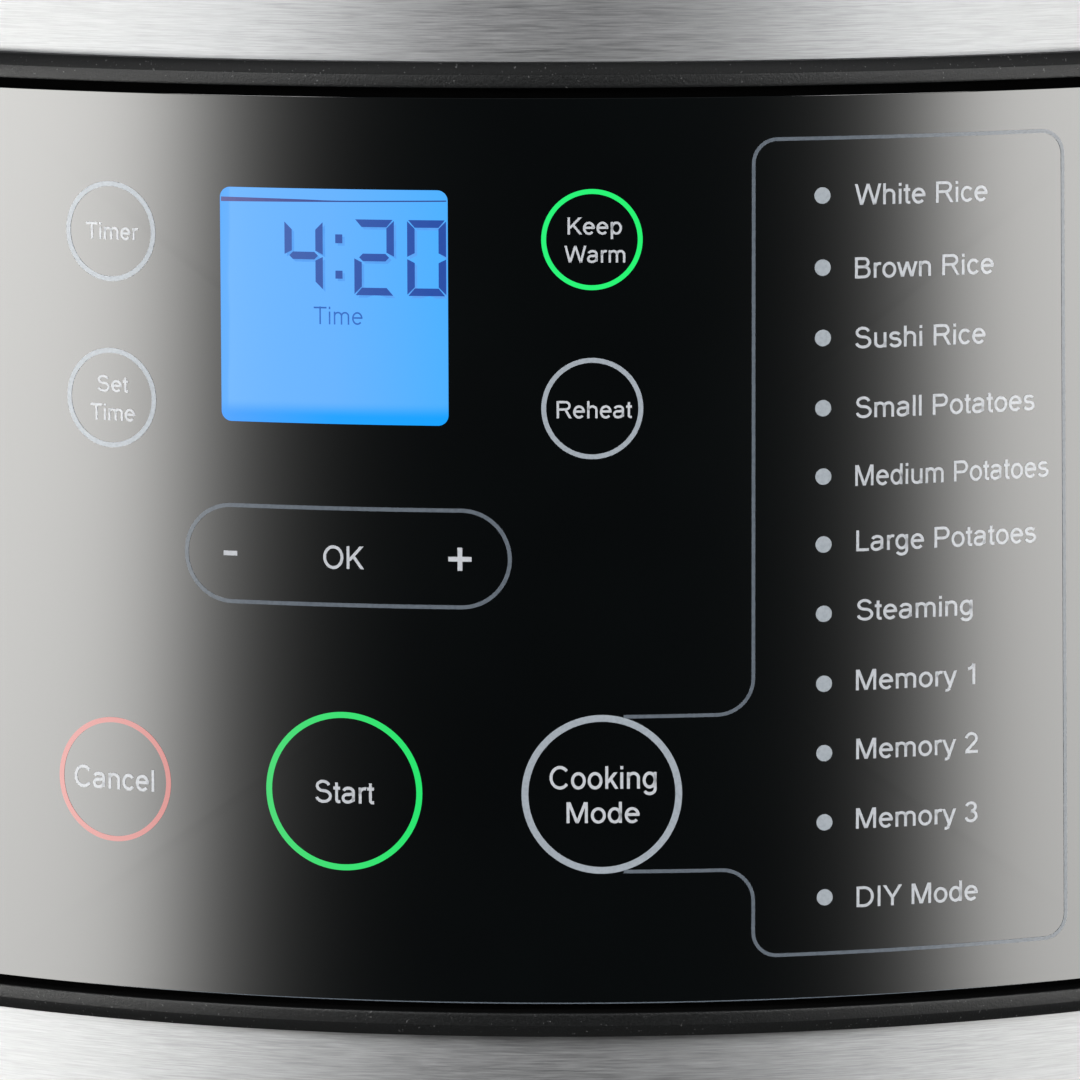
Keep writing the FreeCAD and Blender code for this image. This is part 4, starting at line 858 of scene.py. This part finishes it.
# the module's dark upper edge, thick at the left and thinning as it fades
edge = display["edge"]
edgeLine = densify([(display["left"] + edge["inset"], display["line"] - edge["drop"]),
                    (display["right"] - edge["inset"], display["line"])])
fade = np.clip(1 - (edgeLine[:, 0] - display["left"]) / edge["fade"], 0, 1)
thick = np.stack([0 * fade, edge["thin"] + edge["swell"] * fade ** 0.7], axis=1)
ends = [end * mm for end in edge["span"]]
inkPiece("displayEdge", [(edgeLine + thick, edgeLine, False)],
         litInk("displayEdgeInk", "#5F5D97", "#1F3F8C", ends, 1.0), **overFilm)
# painted highlight: a pale line along the lens's lower edge, fading to both ends, standing in for the light
# that the edge catches
lowerEdge = {"half": 64, "height": -56.98, "width": 0.13}
edgeLight = densify([(-lowerEdge["half"], lowerEdge["height"]), (lowerEdge["half"], lowerEdge["height"])])
fade = np.clip(1.6 * (1 - np.abs(edgeLight[:, 0]) / lowerEdge["half"]), 0.05, 1)
inkPiece("lensEdgePaintedHighlight", [lineBand(edgeLight, lowerEdge["width"] * fade)], dimInkAndEdgeHighlight, lifts=(-0.1, 0.02))
print("display made")

# springs, drawn lighter than the frame's own: one with a joint gets a mesh of its own, and all sizes are in
# mm
wound = {
    "sensor": {"node": "sensor_spring", "body": "cooker", "radius": 10.0, "wire": 0.6, "turns": 5.4,
               "way": (0, 0, 1), "joint": "sensor_travel", "travel": 3.0},
    "button": {"node": "button_spring", "body": "lid", "radius": 4.2, "wire": 0.4, "turns": 4.0,
               "way": (0, 0, 1), "joint": "button_press", "travel": 3.0},
    "hinge": {"node": "hinge_spring", "body": "cooker", "radius": 4.2, "wire": 0.7, "turns": 11.0,
              "way": (1, 0, 0)},
}


def coilPoints(start, way, length, radius, wire, turns, around=10, perTurn=20):
    # centre line: start + radius * (cos t, sin t) across the way + length * t / last t along it; the section
    # is a ring of the wire's radius, wire * (cos a outwards + sin a along the way)
    way = Vector(way).normalized()
    side = way.orthogonal().normalized()
    other = way.cross(side)
    t = np.linspace(0, 2 * np.pi * turns, int(perTurn * turns))[:, None]
    out = np.cos(t) * np.array(side) + np.sin(t) * np.array(other)
    centre = np.array(start) + radius * out + np.array(way) * length * t / t[-1]
    a = np.linspace(0, 2 * np.pi, around, endpoint=False)
    ring = np.cos(a)[None, :, None] * out[:, None, :] + np.sin(a)[None, :, None] * np.array(way)
    return centre[:, None, :] + wire * ring


def capped(grid):
    # closes both ends of a tube with a ring drawn to its middle
    ends = [np.repeat(row.mean(0, keepdims=True), len(row), 0) for row in (grid[0], grid[-1])]
    return np.concatenate([ends[0][None], grid, ends[1][None]])


def makeCoils(name, coils, body, node):
    piece = putMesh(name, *joinGrids(coils, [True] * len(coils)), wireSteel, body)
    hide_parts(node)
    return piece


wireSteel = plainMetal("drawnSpringWire", "#B4B4B1", "#8E8E8B", 0.3, 0.5)
for name, coil in wound.items():
    low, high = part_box(coil["node"])
    way = Vector(coil["way"])
    inset = coil["wire"] * mm
    length = (high - low).dot(way) - 2 * inset
    start = (low + high) / 2 - way * length / 2
    grid = capped(coilPoints(start, way, length, coil["radius"] * mm, inset, coil["turns"]))
    piece = makeCoils(name + "Spring", [grid], coil["body"], coil["node"])
    if "joint" in coil:
        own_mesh(piece)

# touch springs, from the control board out to the back of each key and of the minus and plus signs
touch = {"signs": [(-43.0, -1.1), (-13.7, -1.1)], "board": 118.0, "radius": 3.2, "wire": 0.3}
coils = []
for arc, height in [key["at"] for key in (*keys.values(), *litKeys.values())] + touch["signs"]:
    angle = arc * mm / panel["radius"]
    way = Vector((math.sin(angle), -math.cos(angle), 0))
    near = (touch["board"] + 0.8 + 3.6 * abs(math.sin(angle))) / math.cos(angle) * mm
    length = panel["radius"] - panel["thick"] - 0.8 * mm - near
    start = way * near + Vector((0, 0, panel["centre"] + height * mm))
    coils.append(capped(coilPoints(start, way, length, touch["radius"] * mm, touch["wire"] * mm, 8, 8, 16)))
makeCoils("touchSprings", coils, "cooker", "touch_springs")
print("springs made")

# finishes of the parts drawn as they come from the frame
finishes = {
    "black_pp": mouldedPlastic("blackPolypropylene", "#1B1C1D", "#141516", 0.48, 0.5, 0.03),
    "foot_rubber": mouldedPlastic("feetRubber", "#1E1E1E", "#151515", 0.75, 0.4, 0.04),
    "zinc_screw": plainMetal("zincPlate", "#C2C4C4", "#A3A6A8", 0.32, 0.8),
    "galvanised_steel": spangledZinc(),
    "brushed_steel_wrap": wrapSteel,
    "gloss_black_lens": blackAcrylic,
    "soft_black_trim": panelBead.data.materials[0],
    "black_abs": mouldedPlastic("blackAbs", "#18191A", "#111213", 0.42, 0.35, 0.02),
    "circuit_board": circuitBoard(),
    "lcd_glass": mouldedPlastic("displayModuleGlass", "#5C93D8", "#4A80C8", 0.12, 0.8, 0.005),
    "light_guide": mouldedPlastic("milkyAcrylic", "#DDE0E1", "#D0D4D6", 0.25, 0.6, 0.01),
    "spring_steel": wireSteel,
    "ribbon_pvc": ribbonCable(),
    "steel_pin": plainMetal("groundSteelPin", "#C9C9C8", "#A9A9A8", 0.22, 0.3),
    "pot_coating": nonStick(),
    "cast_aluminium": plainMetal("dieCastAluminium", "#C4C4C2", "#A6A6A4", 0.45, 0.9),
    "element_sheath": plainMetal("oxidisedSheath", "#7C7A76", "#5C5A58", 0.5, 0.7),
    "spun_aluminium": spunMetal("spunAluminium", "#CFCFCE", "#B9B9B8", 0.3),
    "fuse_body": mouldedPlastic("coatedFuse", "#CFC59E", "#BDB38C", 0.4, 0.6, 0.01),
    "transformer_core": mouldedPlastic("yellowWindingTape", "#CDB24A", "#B99C36", 0.45, 1.5, 0.03),
    "relay_case": mouldedPlastic("relayBlue", "#24489E", "#1C3C88", 0.35, 0.5, 0.01),
    "capacitor_sleeve": mouldedPlastic("shrinkSleeve", "#23233C", "#191930", 0.3, 0.5, 0.01),
    "terminal_nylon": mouldedPlastic("naturalNylon", "#E2E0D6", "#D3D1C6", 0.5, 0.5, 0.01),
    "brass_pin": plainMetal("brassBlade", "#D9B871", "#B8975A", 0.28, 0.4),
    "clear_cup": frostedCup(),
    "gloss_black_abs": mouldedPlastic("polishedBlackAbs", "#0B0B0C", "#070708", 0.14, 2.5, 0.01, coat=0.3),
    "lid_liner_pp": mouldedPlastic("greyPolypropylene", "#8A8B8C", "#7E7F80", 0.5, 0.5, 0.02),
    "silicone_grey": mouldedPlastic("greySilicone", "#BFC0BE", "#B0B1AF", 0.6, 0.4, 0.02),
    "chrome_bezel": plainMetal("chromePlate", "#E2E3E4", "#D2D3D4", 0.06, 3.0),
    "acetal": mouldedPlastic("naturalAcetal", "#E6E5DE", "#DAD9D2", 0.4, 0.5, 0.01),
}
lidBrushed = spunMetal("circleBrushedSteel", "#C8C9CA", "#A9AAAB", 0.3)
for part in frame["record"]["subparts"]:
    node = frame["nodes"][part["node"]]
    finish = lidBrushed if part["node"] == "lid_top_plate" else finishes.get(part["material_slot"])
    if finish:
        node.data.materials.clear()
        node.data.materials.append(finish)
print("finishes set")

camera = {
    "place": (0, -1130.2, 136.2),                # mm, from the axis and above the panel's middle
    "lens": 269.7, "sensor": 36, "clip": (0.05, 50),
    "pitch": 7.74, "yaw": 0.214, "roll": -0.167,             # degrees
}


def makeCamera():
    data = bpy.data.cameras.new("camera")
    data.lens, data.sensor_width = camera["lens"], camera["sensor"]
    data.clip_start, data.clip_end = camera["clip"]
    eye = bpy.data.objects.new("camera", data)
    bpy.context.scene.collection.objects.link(eye)
    turn = (Matrix.Rotation(math.radians(camera["yaw"]), 4, "Z")
            @ Matrix.Rotation(math.radians(90 - camera["pitch"]), 4, "X")
            @ Matrix.Rotation(math.radians(camera["roll"]), 4, "Z"))
    spot = Vector(camera["place"]) * mm + Vector((0, 0, panel["centre"]))
    eye.matrix_world = Matrix.Translation(spot) @ turn
    bpy.context.scene.camera = eye


makeCamera()
print("camera set")

# a low curved screen in front, whose glow falls off towards the middle, for the panel and steel to mirror
screen = {
    "radius": 1.7, "reach": 150, "low": -0.33, "high": 0.1,
    "base": 0.016,                                          # what the dark middle of the panel mirrors
    "lean": 3.8,                                            # degrees that the glow widens by from low to high
    "left": {"power": 9.0, "at": 44.4, "width": 4.4},       # bearings in degrees from the front
    "right": {"power": 7.6, "at": 43.2, "width": 4.0},
    "fadeFrom": 95, "fadeOver": 45, "fadeBy": 0.75,
}


def sheetGlow():
    # a light-box skin: it only emits, by the value stored at each point
    material = bpy.data.materials.new("screenGlow")
    material.use_nodes = True
    tree = material.node_tree
    tree.nodes.clear()
    level = addNode(tree, "Attribute", {"attribute_name": "glow"})
    light = addNode(tree, "Emission", Color=hexColour("#FFFEFB"), Strength=level.outputs["Fac"])
    addNode(tree, "OutputMaterial", Surface=light)
    return material


def glowingSheet(name, grid, glow):
    # a surface that only reflections see, glowing by a value at each point of its grid
    mesh = bpy.data.meshes.new(name)
    mesh.from_pydata(grid.reshape(-1, 3).tolist(), [], gridFaces(*grid.shape[:2]).tolist())
    mesh.attributes.new("glow", "FLOAT", "POINT").data.foreach_set("value", glow.ravel().astype(np.float32))
    mesh.materials.append(sheetGlow())
    thing = bpy.data.objects.new(name, mesh)
    bpy.context.scene.collection.objects.link(thing)
    thing.visible_camera = thing.visible_diffuse = thing.visible_shadow = False


def makeScreen():
    # part of a cylinder about Z; its glow is base + power / (1 + exp((at - bearing) / width)) on each side,
    # brighter upwards and fading round the back
    bearing, up = np.meshgrid(np.linspace(-screen["reach"], screen["reach"], 300),
                              np.linspace(screen["low"], screen["high"], 24), indexing="ij")
    angle, reach = np.radians(bearing), screen["radius"]
    grid = np.stack([reach * np.sin(angle), -reach * np.cos(angle), up], axis=-1)
    left, right = screen["left"], screen["right"]
    rise = (up - screen["low"]) / (screen["high"] - screen["low"])
    lean = screen["lean"] * (0.25 - rise)
    glow = (left["power"] / (1 + np.exp((left["at"] + lean + bearing) / left["width"]))
            + right["power"] / (1 + np.exp((right["at"] + lean - bearing) / right["width"])))
    fade = 1 - screen["fadeBy"] * np.clip((np.abs(bearing) - screen["fadeFrom"]) / screen["fadeOver"], 0, 1)
    glowingSheet("screen", grid, screen["base"] + glow * fade * (0.8 + 0.36 * rise))


makeScreen()
backdrop = {"radius": 2.6, "bearing": (90, 270), "lift": (8, 70), "peak": 0.95, "at": 34, "width": 28}


def makeBackdrop():
    # part of a ball behind the object, that shiny tops mirror: radius * (cos lift sin bearing,
    # -cos lift cos bearing, sin lift); its glow is peak * exp(-((lift - at) / width) ^ 2), less at both ends
    bearing, lift = np.meshgrid(np.radians(np.linspace(*backdrop["bearing"], 60)),
                                np.radians(np.linspace(*backdrop["lift"], 24)), indexing="ij")
    grid = backdrop["radius"] * np.stack([np.cos(lift) * np.sin(bearing), -np.cos(lift) * np.cos(bearing),
                                          np.sin(lift)], axis=-1)
    bell = np.exp(-((np.degrees(lift) - backdrop["at"]) / backdrop["width"]) ** 2)
    glowingSheet("backdrop", grid, backdrop["peak"] * bell * np.sin(bearing - np.pi / 2) ** 0.5)


makeBackdrop()
lights = {
    "overhead": {"at": (0.0, -1.6, 1.75), "aim": (0, 0, 0.15), "size": (1.6, 0.9), "power": 2.4},
    "highLeft": {"at": (-1.1, -1.5, 1.0), "aim": (0, 0, 0.12), "size": (0.6, 1.0), "power": 26},
    "highRight": {"at": (1.1, -1.5, 1.0), "aim": (0, 0, 0.12), "size": (0.6, 1.0), "power": 26},
    "behind": {"at": (0.5, 2.4, 1.8), "aim": (0, 0, 0.15), "size": (1.6, 1.2), "power": 16},
}
for name, light in lights.items():
    data = bpy.data.lights.new(name, "AREA")
    data.shape, data.energy = "RECTANGLE", light["power"]
    data.size, data.size_y = light["size"]
    thing = bpy.data.objects.new(name, data)
    bpy.context.scene.collection.objects.link(thing)
    thing.location = light["at"]
    thing.rotation_mode = "QUATERNION"
    thing.rotation_quaternion = (Vector(light["aim"]) - Vector(light["at"])).to_track_quat("-Z", "Y")
    thing.visible_camera = False
print("lights set")

# pale matt floor: a near disc, and a far ring that the object neither mirrors nor is lit by
floor = {"near": 0.2, "far": 12.0, "middle": 0.0001, "sides": 96, "glow": 0.3}


def floorRing(name, outer, inner):
    # a flat ring about the origin, reach * (cos a, sin a) between two reaches
    angle = np.linspace(0, 2 * np.pi, floor["sides"], endpoint=False)
    rows = [np.stack([reach * np.cos(angle), reach * np.sin(angle), 0 * angle], axis=1)
            for reach in (inner, outer)]
    faces = gridFaces(2, floor["sides"], closeColumns=True)[:, ::-1]
    mesh = bpy.data.meshes.new(name)
    mesh.from_pydata(np.concatenate(rows).tolist(), [], faces.tolist())
    material, tree, shader = startMaterial(name + "Matt", Roughness=0.9, IOR=1.45, Specular_IOR_Level=0.12,
                                           Emission_Color=hexColour("#DFDEDB"),
                                           Emission_Strength=floor["glow"])
    cloud = addNode(tree, "TexNoise", Vector=pattern(tree, 500), Scale=1, Detail=3)
    feed(shader, Base_Color=addNode(tree, "ValToRGB", Fac=cloud, stops=[(0.3, "#A9A8A6"), (0.7, "#AFAEAC")]))
    mesh.materials.append(material)
    thing = bpy.data.objects.new(name, mesh)
    bpy.context.scene.collection.objects.link(thing)
    return thing


floorRing("nearFloor", floor["near"], floor["middle"])
farFloor = floorRing("farFloor", floor["far"], floor["near"])
farFloor.visible_glossy = farFloor.visible_diffuse = False


def makeWorld():
    # the camera sees a pale surround, and everything else a dim one
    world = bpy.data.worlds.new("studio")
    bpy.context.scene.world = world
    world.use_nodes = True
    tree = world.node_tree
    tree.nodes.clear()
    path = addNode(tree, "LightPath")
    dim = addNode(tree, "Background", Color=hexColour("#F6F9FF"), Strength=0.06)
    pale = addNode(tree, "Background", Color=hexColour("#E4E3E0"), Strength=1.0)
    mixed = addNode(tree, "MixShader", Fac=path.outputs["Is Camera Ray"], in1=dim, in2=pale)
    addNode(tree, "OutputWorld", Surface=mixed)


makeWorld()
bpy.context.scene.view_settings.view_transform = "Standard"
print("stage made")
